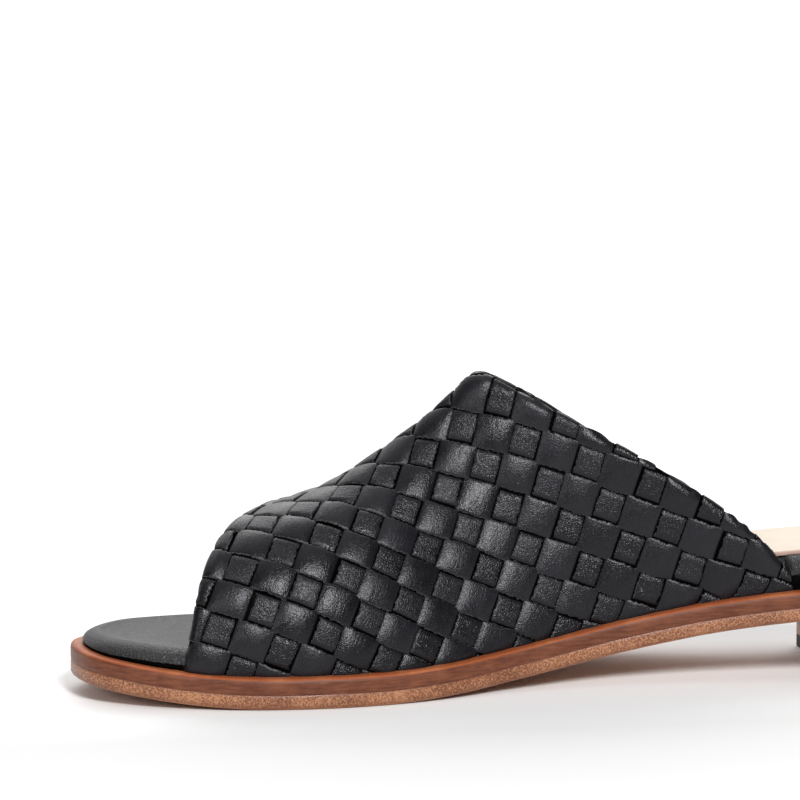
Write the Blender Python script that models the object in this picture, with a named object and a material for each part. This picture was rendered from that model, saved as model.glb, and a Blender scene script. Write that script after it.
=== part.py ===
"""A woven leather slide for the right foot, standing unbent on its sole.

Lengths are metres and +Z is up. The toe points towards -X, the inner side of the foot faces -Y,
and the origin is under the middle of the bounding box. Inside the functions x runs from 0 at
the toe to SOLE_LENGTH at the heel, and place() moves it to the frame.
"""

import math
from collections import namedtuple

import bmesh
import bpy
import numpy as np

# Sole
SOLE_LENGTH = 0.2550
BALL_WIDTH = 0.0890
HEEL_WIDTH = 0.0610
TOE_SPRING = 0.0053
HEEL_HEIGHT = 0.0179
OUTSOLE_THICK = 0.0039
OUTSOLE_EDGE = 0.0005
WELT_THICK = 0.0043
WELT_BEVEL = 0.0011
FIT_GAP = 0.0003

# Heel
BREAST_SHARE = 0.847
HEEL_INSET = 0.0007
HEEL_TAPER = 0.0012
HEEL_EDGE = 0.0006
TOP_PIECE_THICK = 0.0035

# Footbed and heel sock
LEDGE = 0.0034
FOOTBED_THICK = 0.0092
FOOTBED_ROLL = 0.0034
SEAT_GAP = 0.0009
SEAT_EASE = 0.0060
SOCK_SHARE = 0.640
SOCK_RIM = 0.0052
SOCK_THICK = 0.0010

# Upper
INSTEP_HEIGHT = 0.0861
RIDGE_ROUND = 1.30
WALL_THICK = 0.0018
STRIP_RELIEF = 0.0008
STRIP_DROP = 0.0002
OVER_GROOVE = 0.0004
UNDER_GROOVE = 0.0011
ALONG_PITCH = 0.0092
CROSS_PITCH = 0.0091
WEAVE_ANGLE = math.radians(37.5)
WEAVE_START = 0.0749
WEAVE_SIDE = -0.0226

# How finely the curved forms are cut
STATION_COUNT = 34
SECTION_COUNT = 13
SECTION_POINTS = 17
FINE_STEPS = 5
FLAT_ROUNDS = 8

# Plan of the sole: along is a share of the length; inner and outer are shares of the local width,
# which goes from the ball width (heel 0) to the heel width (heel 1).
PlanRow = namedtuple("PlanRow", "along heel inner outer")
PLAN = (
    PlanRow(0.000, 0.0, 0.085, -0.085),
    PlanRow(0.016, 0.0, 0.266, 0.082),
    PlanRow(0.050, 0.0, 0.355, 0.215),
    PlanRow(0.110, 0.0, 0.431, 0.338),
    PlanRow(0.190, 0.0, 0.481, 0.429),
    PlanRow(0.280, 0.0, 0.485, 0.491),
    PlanRow(0.370, 0.0, 0.432, 0.518),
    PlanRow(0.470, 0.3, 0.364, 0.521),
    PlanRow(0.580, 0.6, 0.328, 0.516),
    PlanRow(0.680, 0.8, 0.354, 0.490),
    PlanRow(0.780, 1.0, 0.424, 0.490),
    PlanRow(0.860, 1.0, 0.461, 0.490),
    PlanRow(0.930, 1.0, 0.411, 0.420),
    PlanRow(0.975, 1.0, 0.281, 0.280),
    PlanRow(1.000, 1.0, 0.000, 0.000),
)

# Underside of the outsole: toe is a share of the toe spring, heel a share of the heel height.
UnderRow = namedtuple("UnderRow", "along toe heel")
UNDERSIDE = (
    UnderRow(0.000, 1.000, 0.000),
    UnderRow(0.040, 0.710, 0.000),
    UnderRow(0.100, 0.320, 0.000),
    UnderRow(0.170, 0.050, 0.000),
    UnderRow(0.210, 0.000, 0.000),
    UnderRow(0.330, 0.000, 0.000),
    UnderRow(0.420, 0.000, 0.084),
    UnderRow(0.500, 0.000, 0.250),
    UnderRow(0.600, 0.000, 0.519),
    UnderRow(0.700, 0.000, 0.774),
    UnderRow(0.800, 0.000, 0.941),
    UnderRow(0.900, 0.000, 1.000),
    UnderRow(1.000, 0.000, 1.015),
)

# Thickness of the footbed as a share of FOOTBED_THICK.
BedRow = namedtuple("BedRow", "along thick")
FOOTBED = (
    BedRow(0.000, 0.360),
    BedRow(0.050, 0.500),
    BedRow(0.118, 0.590),
    BedRow(0.250, 0.620),
    BedRow(0.450, 0.800),
    BedRow(0.620, 0.980),
    BedRow(0.780, 1.000),
    BedRow(1.000, 0.960),
)

# Sections of the upper from the toe opening to the instep opening. Inner, outer and ridge are the
# shares of the sole's length where the section starts, ends and crosses the ridge; side is a share
# of the ball width and top a share of the instep height. Square bends the section from an ellipse
# (2) towards a box. Slant, a share of the ball width, is how far it runs back as it crosses the
# ridge from the inner side to the outer. Lean is how late it leaves the ridge for the base.
UpperRow = namedtuple("UpperRow", "inner outer ridge side top square slant lean")
UPPER = (
    UpperRow(0.1195, 0.2710, 0.2140, 0.025, 0.573, 2.33, 0.400, 1.00),
    UpperRow(0.3425, 0.4320, 0.2925, 0.005, 0.660, 2.24, 0.267, 1.23),
    UpperRow(0.5655, 0.5930, 0.3710, -0.015, 0.817, 2.16, 0.133, 1.47),
    UpperRow(0.7885, 0.7530, 0.4490, -0.035, 1.000, 2.07, 0.000, 1.70),
)


def clear():
    """Remove every object and mesh, so that the part is built in an empty file."""
    for item in list(bpy.data.objects):
        bpy.data.objects.remove(item, do_unlink=True)
    for mesh in list(bpy.data.meshes):
        bpy.data.meshes.remove(mesh)


def through(xs, ys, at):
    """Smooth curve through the points (xs, ys), read at the places at."""
    xs = np.asarray(xs, float)
    ys = np.asarray(ys, float)
    at = np.clip(np.asarray(at, float), xs[0], xs[-1])
    step = np.diff(xs)
    rise = np.diff(ys) / step
    between = (rise[:-1] * step[1:] + rise[1:] * step[:-1]) / (step[1:] + step[:-1])
    slope = np.concatenate([rise[:1], between, rise[-1:]])
    low = np.clip(np.searchsorted(xs, at) - 1, 0, len(xs) - 2)
    part = (at - xs[low]) / step[low]
    square = part * part
    cube = square * part
    start = (2.0 * cube - 3.0 * square + 1.0) * ys[low]
    start += (cube - 2.0 * square + part) * step[low] * slope[low]
    end = (3.0 * square - 2.0 * cube) * ys[low + 1]
    end += (cube - square) * step[low] * slope[low + 1]
    return start + end


def column(rows, name):
    """One column of a table as an array."""
    return np.array([getattr(row, name) for row in rows], float)


def dense_plan(inset):
    """Closed plan curve moved inwards by inset: the inner and outer halves, both from toe to heel."""
    width = BALL_WIDTH + (HEEL_WIDTH - BALL_WIDTH) * column(PLAN, "heel")
    turn = np.arccos(1.0 - 2.0 * column(PLAN, "along"))
    inner = -column(PLAN, "inner") * width
    outer = column(PLAN, "outer") * width
    knots = np.concatenate([-turn[::-1], turn[1:]])
    sides = np.concatenate([inner[::-1], outer[1:]])
    wrap = 2.0 * math.pi
    knots = np.concatenate([knots[-3:-1] - wrap, knots, knots[1:3] + wrap])
    sides = np.concatenate([sides[-3:-1], sides, sides[1:3]])
    angle = np.linspace(-math.pi, math.pi, 721)[:-1]
    curve = np.stack([(1.0 - np.cos(angle)) / 2.0 * SOLE_LENGTH, through(knots, sides, angle)], 1)
    along = np.roll(curve, -1, 0) - np.roll(curve, 1, 0)
    along /= np.linalg.norm(along, axis=1, keepdims=True)
    curve = curve + inset * np.stack([along[:, 1], -along[:, 0]], 1)
    toe = int(np.argmin(curve[:, 0]))
    curve = np.roll(curve, -toe, 0)
    heel = int(np.argmax(curve[:, 0]))
    outer_half = curve[: heel + 1]
    inner_half = np.concatenate([curve[heel:], curve[:1]])[::-1]
    return inner_half, outer_half


def side_at(half, x):
    """Side position of one half of the plan at x."""
    return np.interp(x, half[:, 0], half[:, 1])


def underside(x):
    """Height of the outsole's underside at x; the tread lies flat on the floor."""
    height = column(UNDERSIDE, "toe") * TOE_SPRING + column(UNDERSIDE, "heel") * HEEL_HEIGHT
    return np.maximum(through(column(UNDERSIDE, "along") * SOLE_LENGTH, height, x), 0.0)


def outsole_top(x):
    """Height of the outsole's upper face at x."""
    return underside(x) + OUTSOLE_THICK


def welt_top(x):
    """Height of the welt's upper face at x."""
    return outsole_top(x) + FIT_GAP + WELT_THICK


def footbed_top(x):
    """Height of the footbed's upper face at x."""
    thick = through(column(FOOTBED, "along") * SOLE_LENGTH, column(FOOTBED, "thick") * FOOTBED_THICK, x)
    return welt_top(x) + FIT_GAP + thick


def stations(front, back, marks=()):
    """Shares of the length at which a sole part is cut, closer together at rounded ends."""
    turn = np.linspace(0.0 if front == 0.0 else 0.5 * math.pi, math.pi, STATION_COUNT)
    base = 1.0 - np.cos(turn)
    base = (base - base[0]) / (base[-1] - base[0])
    shares = front + (back - front) * base
    for mark in marks:
        shares = shares[np.abs(shares - mark) > 0.006]
    return np.sort(np.append(shares, marks))


def rail(shares, inset, seat=None, reach=None):
    """Plan rings of a sole part at the shares: x, inner side and outer side.

    Only the rounded ends move with the inset. Where seat is given, the sides inside the upper's
    reach are moved in by seat instead.
    """
    toe = np.maximum(1.0 - shares / 0.08, 0.0) ** 2
    heel = np.maximum(1.0 - (1.0 - shares) / 0.08, 0.0) ** 2
    x = SOLE_LENGTH * shares + inset * (toe - heel)
    inner_half, outer_half = dense_plan(inset)
    inner = side_at(inner_half, x)
    outer = side_at(outer_half, x)
    if seat is not None:
        inner_seat, outer_seat = dense_plan(seat)
        inner_span, outer_span = reach
        within = (shares >= inner_span[0]) & (shares <= inner_span[1])
        inner = np.where(within, side_at(inner_seat, x), inner)
        within = (shares >= outer_span[0]) & (shares <= outer_span[1])
        outer = np.where(within, side_at(outer_seat, x), outer)
    return x, inner, outer


def place(points):
    """Move points from the toe-based lengths to the frame."""
    return points - np.array([SOLE_LENGTH / 2.0, side_middle(), 0.0])


def side_middle():
    """Middle of the sole's plan across the foot."""
    inner_half, outer_half = dense_plan(0.0)
    return (inner_half[:, 1].min() + outer_half[:, 1].max()) / 2.0


def finish(name, mesh_data, color, roughness):
    """Turn a bmesh into a named object with its own material."""
    bmesh.ops.recalc_face_normals(mesh_data, faces=mesh_data.faces)
    mesh = bpy.data.meshes.new(name)
    mesh_data.to_mesh(mesh)
    mesh_data.free()
    item = bpy.data.objects.new(name, mesh)
    bpy.context.scene.collection.objects.link(item)
    material = bpy.data.materials.new(name)
    material.use_nodes = True
    shader = material.node_tree.nodes["Principled BSDF"]
    shader.inputs["Base Color"].default_value = (*color, 1.0)
    shader.inputs["Roughness"].default_value = roughness
    material.diffuse_color = (*color, 1.0)
    mesh.materials.append(material)
    return item


def slab(name, levels, color, roughness):
    """Close a stack of plan rings, lowest first, into one sole part.

    Each level is (x, inner, outer, height). Neighbouring rings are joined by a band of faces, and
    the lowest and highest rings are capped straight across the foot.
    """
    rings = []
    for x, inner, outer, height in levels:
        one = np.stack([x, inner, height], 1)
        two = np.stack([x, outer, height], 1)[::-1]
        rings.append(place(np.concatenate([one, two])))
    count = len(rings[0])
    half = count // 2
    build = bmesh.new()
    verts = [[build.verts.new(point) for point in ring] for ring in rings]
    for low, high in zip(verts[:-1], verts[1:]):
        for here in range(count):
            there = (here + 1) % count
            build.faces.new((low[here], low[there], high[there], high[here]))
    for ring in (verts[0], verts[-1]):
        for here in range(half - 1):
            far = count - 1 - here
            build.faces.new((ring[here], ring[here + 1], ring[far - 1], ring[far]))
    bmesh.ops.remove_doubles(build, verts=build.verts, dist=0.00002)
    return finish(name, build, color, roughness)


def build_outsole():
    """Leather outsole with toe spring, flat tread and arched waist."""
    shares = stations(0.0, 1.0)
    eased = rail(shares, OUTSOLE_EDGE)
    full = rail(shares, 0.0)
    levels = [
        (*eased, underside(eased[0])),
        (*full, underside(full[0]) + OUTSOLE_EDGE),
        (*full, outsole_top(full[0])),
    ]
    return slab("outsole", levels, (0.42, 0.20, 0.09), 0.55)


def build_welt():
    """Welt between the outsole and the footbed, its upper outer edge bevelled."""
    shares = stations(0.0, 1.0)
    full = rail(shares, 0.0)
    eased = rail(shares, WELT_BEVEL)
    levels = [
        (*full, outsole_top(full[0]) + FIT_GAP),
        (*full, welt_top(full[0]) - WELT_BEVEL),
        (*eased, welt_top(eased[0])),
    ]
    return slab("welt", levels, (0.19, 0.06, 0.03), 0.45)


def upper_reach():
    """Shares of the length over which the upper stands beside the footbed, for each side."""
    clear_share = FIT_GAP / SOLE_LENGTH
    first = UPPER[0]
    last = UPPER[-1]
    return (
        (first.inner - clear_share, last.inner + clear_share),
        (first.outer - clear_share, last.outer + clear_share),
    )


def build_footbed():
    """Padded footbed with a rolled upper edge; its sides step in where the upper stands."""
    reach = upper_reach()
    step = 2.0 * FIT_GAP / SOLE_LENGTH
    marks = [share for span in reach for share in (span[0] - step, span[0], span[1], span[1] + step)]
    shares = stations(0.0, 1.0, marks)
    seat = LEDGE + STRIP_RELIEF + WALL_THICK + SEAT_GAP
    levels = []
    for turn in (None, 0.0, 30.0, 60.0, 90.0):
        inward = 0.0 if turn is None else FOOTBED_ROLL * (1.0 - math.cos(math.radians(turn)))
        ring = rail(shares, LEDGE + inward, seat + inward, reach)
        top = footbed_top(ring[0])
        base = welt_top(ring[0]) + FIT_GAP
        roll = np.minimum(FOOTBED_ROLL, 0.8 * (top - base))
        height = base if turn is None else top - roll * (1.0 - math.sin(math.radians(turn)))
        levels.append((*ring, height))
    return slab("footbed", levels, (0.012, 0.012, 0.014), 0.4)


def build_sock():
    """Thin sock glued on the rear of the footbed."""
    shares = stations(SOCK_SHARE, 1.0)
    ring = rail(shares, LEDGE + SOCK_RIM)
    base = footbed_top(ring[0]) + FIT_GAP
    levels = [(*ring, base), (*ring, base + SOCK_THICK)]
    return slab("heel_sock", levels, (0.62, 0.50, 0.38), 0.6)


def build_heel():
    """Stacked heel block under the outsole, from the breast to the back."""
    shares = stations(BREAST_SHARE, 1.0)
    upper_ring = rail(shares, HEEL_INSET)
    lower_ring = rail(shares, HEEL_INSET + HEEL_TAPER)
    floor = np.full(len(shares), TOP_PIECE_THICK + FIT_GAP)
    levels = [(*lower_ring, floor), (*upper_ring, underside(upper_ring[0]) - FIT_GAP)]
    return slab("heel_block", levels, (0.36, 0.17, 0.08), 0.5)


def build_top_piece():
    """Rubber top piece that the heel stands on."""
    shares = stations(BREAST_SHARE, 1.0)
    eased = rail(shares, HEEL_INSET + HEEL_TAPER + HEEL_EDGE)
    full = rail(shares, HEEL_INSET + HEEL_TAPER)
    level = np.ones(len(shares))
    levels = [
        (*eased, 0.0 * level),
        (*full, HEEL_EDGE * level),
        (*full, TOP_PIECE_THICK * level),
    ]
    return slab("top_piece", levels, (0.03, 0.028, 0.026), 0.8)


def upper_surface(rows, points):
    """Outer face of the upper as a grid of points.

    Row by row from the toe opening to the instep opening; in each row from the inner base over the
    ridge to the outer base, evenly by arc length on each side of the ridge.
    """
    knots = np.linspace(0.0, 1.0, len(UPPER))
    share = np.linspace(0.0, 1.0, rows)
    read = {name: through(knots, column(UPPER, name), share)[:, None] for name in UpperRow._fields}
    inner_half, outer_half = dense_plan(LEDGE)
    turn = np.linspace(0.0, math.pi, 241)[None, :]
    inner_side = np.cos(turn) > 0.0
    base_x = np.where(inner_side, read["inner"], read["outer"]) * SOLE_LENGTH
    base_y = np.where(inner_side, side_at(inner_half, base_x), side_at(outer_half, base_x))
    base_z = welt_top(base_x) + FIT_GAP
    power = 2.0 / read["square"]
    out = np.abs(np.cos(turn)) ** power
    rise = np.abs(np.sin(turn)) ** power
    ridge_y = read["side"] * BALL_WIDTH
    y = ridge_y + (base_y - ridge_y) * out
    z = base_z + (read["top"] * INSTEP_HEIGHT - base_z) * rise
    middle = turn.shape[1] // 2
    arc = np.concatenate([np.zeros((rows, 1)), np.cumsum(np.hypot(np.diff(y), np.diff(z)), 1)], 1)
    to_ridge = arc[:, middle : middle + 1]
    climb = np.where(inner_side, arc / to_ridge, (arc[:, -1:] - arc) / (arc[:, -1:] - to_ridge))
    away = np.clip(1.0 - climb, 0.0, 1.0)
    ridge_x = read["ridge"] * SOLE_LENGTH
    slant = np.where(inner_side, -1.0, 1.0) * read["slant"] * BALL_WIDTH
    reach = 1.0 - (1.0 - away**RIDGE_ROUND) ** read["lean"]
    x = ridge_x + slant * away * (1.0 - away) + (base_x - ridge_x) * reach
    full = np.stack([x, y, z], 2)
    length = np.linalg.norm(np.diff(full, axis=1), axis=2)
    grid = np.empty((rows, points, 3))
    half = points // 2
    for row in range(rows):
        for first, last, start in ((0, middle, 0), (middle, turn.shape[1] - 1, half)):
            walk = np.concatenate([[0.0], np.cumsum(length[row, first:last])])
            even = np.linspace(0.0, walk[-1], half + 1)
            for axis in range(3):
                line = full[row, first : last + 1, axis]
                grid[row, start : start + half + 1, axis] = np.interp(even, walk, line)
    return grid


def flat_pattern(grid):
    """Lay the grid flat with its own lengths, as the piece would be cut from a sheet.

    Starts from the ridge as a straight line with the sections fanned out from it, then corrects
    all edge and diagonal lengths together, by least squares, a few times.
    """
    rows, points, _ = grid.shape
    number = np.arange(rows * points).reshape(rows, points)
    pairs = np.concatenate(
        [
            np.stack([number[:-1].ravel(), number[1:].ravel()], 1),
            np.stack([number[:, :-1].ravel(), number[:, 1:].ravel()], 1),
            np.stack([number[:-1, :-1].ravel(), number[1:, 1:].ravel()], 1),
            np.stack([number[1:, :-1].ravel(), number[:-1, 1:].ravel()], 1),
        ]
    )
    solid = grid.reshape(-1, 3)
    length = np.linalg.norm(solid[pairs[:, 0]] - solid[pairs[:, 1]], axis=1)
    middle = points // 2
    ridge_steps = np.linalg.norm(np.diff(grid[:, middle], axis=0), axis=1)
    ridge = np.concatenate([[0.0], np.cumsum(ridge_steps)])
    across_steps = np.linalg.norm(np.diff(grid, axis=1), axis=2)
    arc = np.concatenate([np.zeros((rows, 1)), np.cumsum(across_steps, 1)], 1)
    arc = arc - arc[:, middle : middle + 1]
    fan = np.linspace(-0.5, 0.9, rows)[:, None]
    flat = np.stack([ridge[:, None] + np.abs(arc) * np.sin(fan), arc * np.cos(fan)], 2).reshape(-1, 2)
    one, two = pairs.T
    for _ in range(FLAT_ROUNDS):
        apart = flat[one] - flat[two]
        now = np.linalg.norm(apart, axis=1)
        pull = apart / (now * length)[:, None]
        push = pull * (now / length - 1.0)[:, None]
        matrix = np.zeros((2 * len(flat), 2 * len(flat)))
        side = np.zeros(2 * len(flat))
        for a in range(2):
            np.add.at(side, 2 * one + a, push[:, a])
            np.add.at(side, 2 * two + a, -push[:, a])
            for b in range(2):
                both = pull[:, a] * pull[:, b]
                np.add.at(matrix, (2 * one + a, 2 * one + b), both)
                np.add.at(matrix, (2 * two + a, 2 * two + b), both)
                np.add.at(matrix, (2 * one + a, 2 * two + b), -both)
                np.add.at(matrix, (2 * two + a, 2 * one + b), -both)
        matrix += np.eye(len(matrix)) * 1e-5 * np.trace(matrix) / len(matrix)
        flat = flat - np.linalg.solve(matrix, side).reshape(-1, 2)
    flat = flat.reshape(rows, points, 2)
    return turn_to_ridge(flat, middle)


def turn_to_ridge(flat, middle):
    """Turn and shift the pattern so that its ridge runs along +x from the front opening's top."""
    origin = flat[0, middle]
    line = flat[-1, middle] - origin
    line = line / np.linalg.norm(line)
    moved = flat - origin
    return np.stack([moved @ line, moved @ np.array([-line[1], line[0]])], 2)


def finer(grid, steps):
    """Smoothly refine a grid so that each of its cells becomes steps by steps cells."""
    rows, points, _ = grid.shape
    along = np.linspace(0, rows - 1, (rows - 1) * steps + 1)
    across = np.linspace(0, points - 1, (points - 1) * steps + 1)
    tall = np.empty((len(along), points, grid.shape[2]))
    wide = np.empty((len(along), len(across), grid.shape[2]))
    for axis in range(grid.shape[2]):
        for point in range(points):
            tall[:, point, axis] = through(np.arange(rows), grid[:, point, axis], along)
        for row in range(len(along)):
            wide[row, :, axis] = through(np.arange(points), tall[row, :, axis], across)
    return wide


class Wrap:
    """Carries points of the flat pattern on to the last.

    Near its base the wall is squared to the welt, so that its lower edge sits flat there.
    """

    def __init__(self):
        coarse = upper_surface(SECTION_COUNT, SECTION_POINTS)
        self.flat = finer(flat_pattern(coarse), FINE_STEPS)
        rows, points, _ = self.flat.shape
        self.solid = upper_surface(rows, points)
        along = np.gradient(self.solid, axis=0)
        across = np.gradient(self.solid, axis=1)
        normal = np.cross(across, along)
        normal /= np.linalg.norm(normal, axis=2, keepdims=True)
        normal *= np.sign(normal[rows // 2, points // 2, 2])
        height = self.solid[:, :, 2] - np.maximum(self.solid[:, :1, 2], self.solid[:, -1:, 2])
        normal[:, :, 2] *= np.clip(height / SEAT_EASE, 0.0, 1.0)
        self.normal = normal / np.linalg.norm(normal, axis=2, keepdims=True)

    def edge(self):
        """Outline of the flat pattern, once round."""
        flat = self.flat
        return np.concatenate([flat[:, 0], flat[-1, 1:], flat[-2::-1, -1], flat[0, -2:0:-1]])

    def locate(self, spots):
        """Grid coordinates of flat spots, found by Newton steps from the nearest grid point."""
        rows, points, _ = self.flat.shape
        near = np.empty((len(spots), 2))
        every = self.flat.reshape(-1, 2)
        for first in range(0, len(spots), 500):
            part = spots[first : first + 500]
            best = np.argmin(((part[:, None] - every[None]) ** 2).sum(2), 1)
            near[first : first + 500] = np.stack([best // points, best % points], 1)
        for _ in range(12):
            cell, share = self.cell(near)
            here, by_row, by_point = self.read(self.flat, cell, share)
            miss = spots - here
            area = by_row[:, 0] * by_point[:, 1] - by_row[:, 1] * by_point[:, 0]
            move_row = (miss[:, 0] * by_point[:, 1] - miss[:, 1] * by_point[:, 0]) / area
            move_point = (by_row[:, 0] * miss[:, 1] - by_row[:, 1] * miss[:, 0]) / area
            near = near + np.clip(np.stack([move_row, move_point], 1), -1.5, 1.5)
            near = np.clip(near, 0.0, np.array([rows - 1.0, points - 1.0]))
        return near

    def cell(self, near):
        """Lower corner and shares within the grid cell that holds each place."""
        rows, points, _ = self.flat.shape
        cell = np.minimum(near.astype(int), np.array([rows - 2, points - 2]))
        return cell, near - cell

    def read(self, field, cell, share):
        """Value of a field over the grid and its change along rows and points."""
        row, point = cell.T
        a = share[:, :1]
        b = share[:, 1:]
        one, two = field[row, point], field[row + 1, point]
        three, four = field[row, point + 1], field[row + 1, point + 1]
        value = one * (1 - a) * (1 - b) + two * a * (1 - b) + three * (1 - a) * b + four * a * b
        by_row = (two - one) * (1 - b) + (four - three) * b
        by_point = (three - one) * (1 - a) + (four - two) * a
        return value, by_row, by_point

    def lift(self, spots, heights):
        """Points of the shoe for flat spots at heights above the outer face."""
        cell, share = self.cell(self.locate(spots))
        base = self.read(self.solid, cell, share)[0]
        normal = self.read(self.normal, cell, share)[0]
        normal = normal / np.linalg.norm(normal, axis=1, keepdims=True)
        return base + normal * heights[:, None]


def weave_corner(row, strip):
    """Flat place of a corner between four blocks of the weave."""
    along = np.array([math.cos(WEAVE_ANGLE), -math.sin(WEAVE_ANGLE)]) * ALONG_PITCH
    cross = np.array([-math.sin(WEAVE_ANGLE), -math.cos(WEAVE_ANGLE)]) * CROSS_PITCH
    start = np.array([WEAVE_START, WEAVE_SIDE])
    return start + (row - 0.5) * along + (strip - 0.5) * cross


def weave_range(edge):
    """Range of block numbers, both ways, that covers the pattern."""
    one = weave_corner(1.5, 0.5) - weave_corner(0.5, 0.5)
    two = weave_corner(0.5, 1.5) - weave_corner(0.5, 0.5)
    steps = np.linalg.inv(np.stack([one, two], 1)) @ (edge - weave_corner(0.5, 0.5)).T
    low = np.floor(steps.min(1)).astype(int) - 1
    high = np.ceil(steps.max(1)).astype(int) + 2
    return low, high


def woven_sheet(edge):
    """Flat woven sheet with raised blocks, larger than the pattern, as a mesh object.

    Blocks of the two strip directions alternate; those of the long strips are larger and stand
    STRIP_DROP higher.
    """
    low, high = weave_range(edge)
    build = bmesh.new()
    top, bottom = {}, {}
    for row in range(low[0], high[0] + 1):
        for strip in range(low[1], high[1] + 1):
            x, y = weave_corner(row, strip)
            top[row, strip] = build.verts.new((x, y, -STRIP_RELIEF))
            bottom[row, strip] = build.verts.new((x, y, -STRIP_RELIEF - WALL_THICK))
    for row in range(low[0], high[0]):
        for strip in range(low[1], high[1]):
            ring = [(row, strip), (row + 1, strip), (row + 1, strip + 1), (row, strip + 1)]
            long_strip = (row + strip) % 2 == 1
            groove = OVER_GROOVE if long_strip else UNDER_GROOVE
            height = 0.0 if long_strip else -STRIP_DROP
            middle = weave_corner(row + 0.5, strip + 0.5)
            raised = []
            for spot in ring:
                corner = weave_corner(*spot)
                shrink = 1.0 - 2.0 * groove / min(ALONG_PITCH, CROSS_PITCH)
                x, y = middle + (corner - middle) * shrink
                raised.append(build.verts.new((x, y, height)))
            build.faces.new(raised)
            for here in range(4):
                there = (here + 1) % 4
                build.faces.new((top[ring[here]], top[ring[there]], raised[there], raised[here]))
            build.faces.new([bottom[spot] for spot in reversed(ring)])
    border = [(row, low[1]) for row in range(low[0], high[0])]
    border += [(high[0], strip) for strip in range(low[1], high[1])]
    border += [(row, high[1]) for row in range(high[0], low[0], -1)]
    border += [(low[0], strip) for strip in range(high[1], low[1], -1)]
    for here, spot in enumerate(border):
        after = border[(here + 1) % len(border)]
        build.faces.new((bottom[spot], bottom[after], top[after], top[spot]))
    return finish("woven_sheet", build, (0.01, 0.01, 0.01), 0.5)


def pattern_block(edge):
    """Upright block with the pattern's outline, used to cut the woven sheet."""
    build = bmesh.new()
    reach = 4.0 * WALL_THICK
    low = [build.verts.new((x, y, -reach)) for x, y in edge]
    high = [build.verts.new((x, y, reach)) for x, y in edge]
    build.faces.new(low)
    build.faces.new(high)
    for here in range(len(edge)):
        there = (here + 1) % len(edge)
        build.faces.new((low[here], low[there], high[there], high[here]))
    return finish("pattern_block", build, (0.5, 0.5, 0.5), 0.5)


def build_upper():
    """Woven upper: the sheet is cut to the pattern while flat and then wrapped over the last."""
    wrap = Wrap()
    edge = wrap.edge()
    sheet = woven_sheet(edge)
    block = pattern_block(edge[::2])
    cut = sheet.modifiers.new("cut", "BOOLEAN")
    cut.operation = "INTERSECT"
    cut.solver = "EXACT"
    cut.object = block
    bpy.context.view_layer.update()
    evaluated = sheet.evaluated_get(bpy.context.evaluated_depsgraph_get())
    build = bmesh.new()
    build.from_mesh(evaluated.to_mesh())
    for item in (sheet, block):
        bpy.data.objects.remove(item, do_unlink=True)
    bmesh.ops.remove_doubles(build, verts=build.verts, dist=0.00003)
    bmesh.ops.dissolve_degenerate(build, edges=build.edges, dist=0.00003)
    bmesh.ops.triangulate(build, faces=build.faces)
    flat = np.array([vert.co[:] for vert in build.verts])
    solid = place(wrap.lift(flat[:, :2], flat[:, 2]))
    for vert, point in zip(build.verts, solid):
        vert.co = point
    return finish("upper", build, (0.012, 0.012, 0.015), 0.42)


def main():
    """Build every part of the slide."""
    clear()
    build_top_piece()
    build_heel()
    build_outsole()
    build_welt()
    build_footbed()
    build_sock()
    build_upper()


main()
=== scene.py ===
"""Looks of a woven leather slide for the right foot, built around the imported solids.

Lengths are metres. The toe points towards -X, the inner side of the foot faces -Y and +Z is up.
"""

from __future__ import annotations

import logging
import math
from collections.abc import Sequence
from dataclasses import dataclass, field
from enum import Enum

import bmesh
import bpy
import numpy as np
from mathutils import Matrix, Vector


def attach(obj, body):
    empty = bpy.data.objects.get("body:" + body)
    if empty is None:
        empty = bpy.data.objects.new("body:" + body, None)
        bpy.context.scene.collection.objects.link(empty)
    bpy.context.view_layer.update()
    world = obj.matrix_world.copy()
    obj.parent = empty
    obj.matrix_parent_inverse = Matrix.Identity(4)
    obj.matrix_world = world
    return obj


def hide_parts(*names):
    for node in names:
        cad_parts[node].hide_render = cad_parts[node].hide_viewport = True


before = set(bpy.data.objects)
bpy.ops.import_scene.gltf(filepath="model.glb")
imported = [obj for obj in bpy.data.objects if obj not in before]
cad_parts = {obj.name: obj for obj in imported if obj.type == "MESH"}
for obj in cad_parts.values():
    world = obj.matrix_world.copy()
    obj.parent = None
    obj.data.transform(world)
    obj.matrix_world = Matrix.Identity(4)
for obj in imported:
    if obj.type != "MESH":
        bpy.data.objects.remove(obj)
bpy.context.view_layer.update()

LOG = logging.getLogger("slide")
MM = 0.001
CHUNK = 8000  # flat spots worked out at a time
Array = np.ndarray
Color = tuple[float, float, float]
Scale = tuple[float, float, float]
Ring = tuple[Array, Array, Array, Array]  # x, inner side, outer side and height
Item = bpy.types.Object
Material = bpy.types.Material
Socket = bpy.types.NodeSocket


# Curves and grids


def through(xs: Array, ys: Array, at: Array) -> Array:
    """Cubic through the points, with the slope at each point weighted from both neighbours.

    Args:
        xs: Places of the points, rising.
        ys: Values at the points.
        at: Places where the curve is read.

    Returns:
        The curve's values.
    """
    at = np.clip(np.asarray(at, float), xs[0], xs[-1])
    step = np.diff(xs)
    rise = np.diff(ys) / step
    inner = (rise[:-1] * step[1:] + rise[1:] * step[:-1]) / (step[1:] + step[:-1])
    slope = np.concatenate([rise[:1], inner, rise[-1:]])
    low = np.clip(np.searchsorted(xs, at) - 1, 0, len(xs) - 2)
    part = (at - xs[low]) / step[low]
    square, cube = part**2, part**3
    start = (2 * cube - 3 * square + 1) * ys[low] + (cube - 2 * square + part) * step[low] * slope[low]
    end = (3 * square - 2 * cube) * ys[low + 1] + (cube - square) * step[low] * slope[low + 1]
    return start + end


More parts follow.
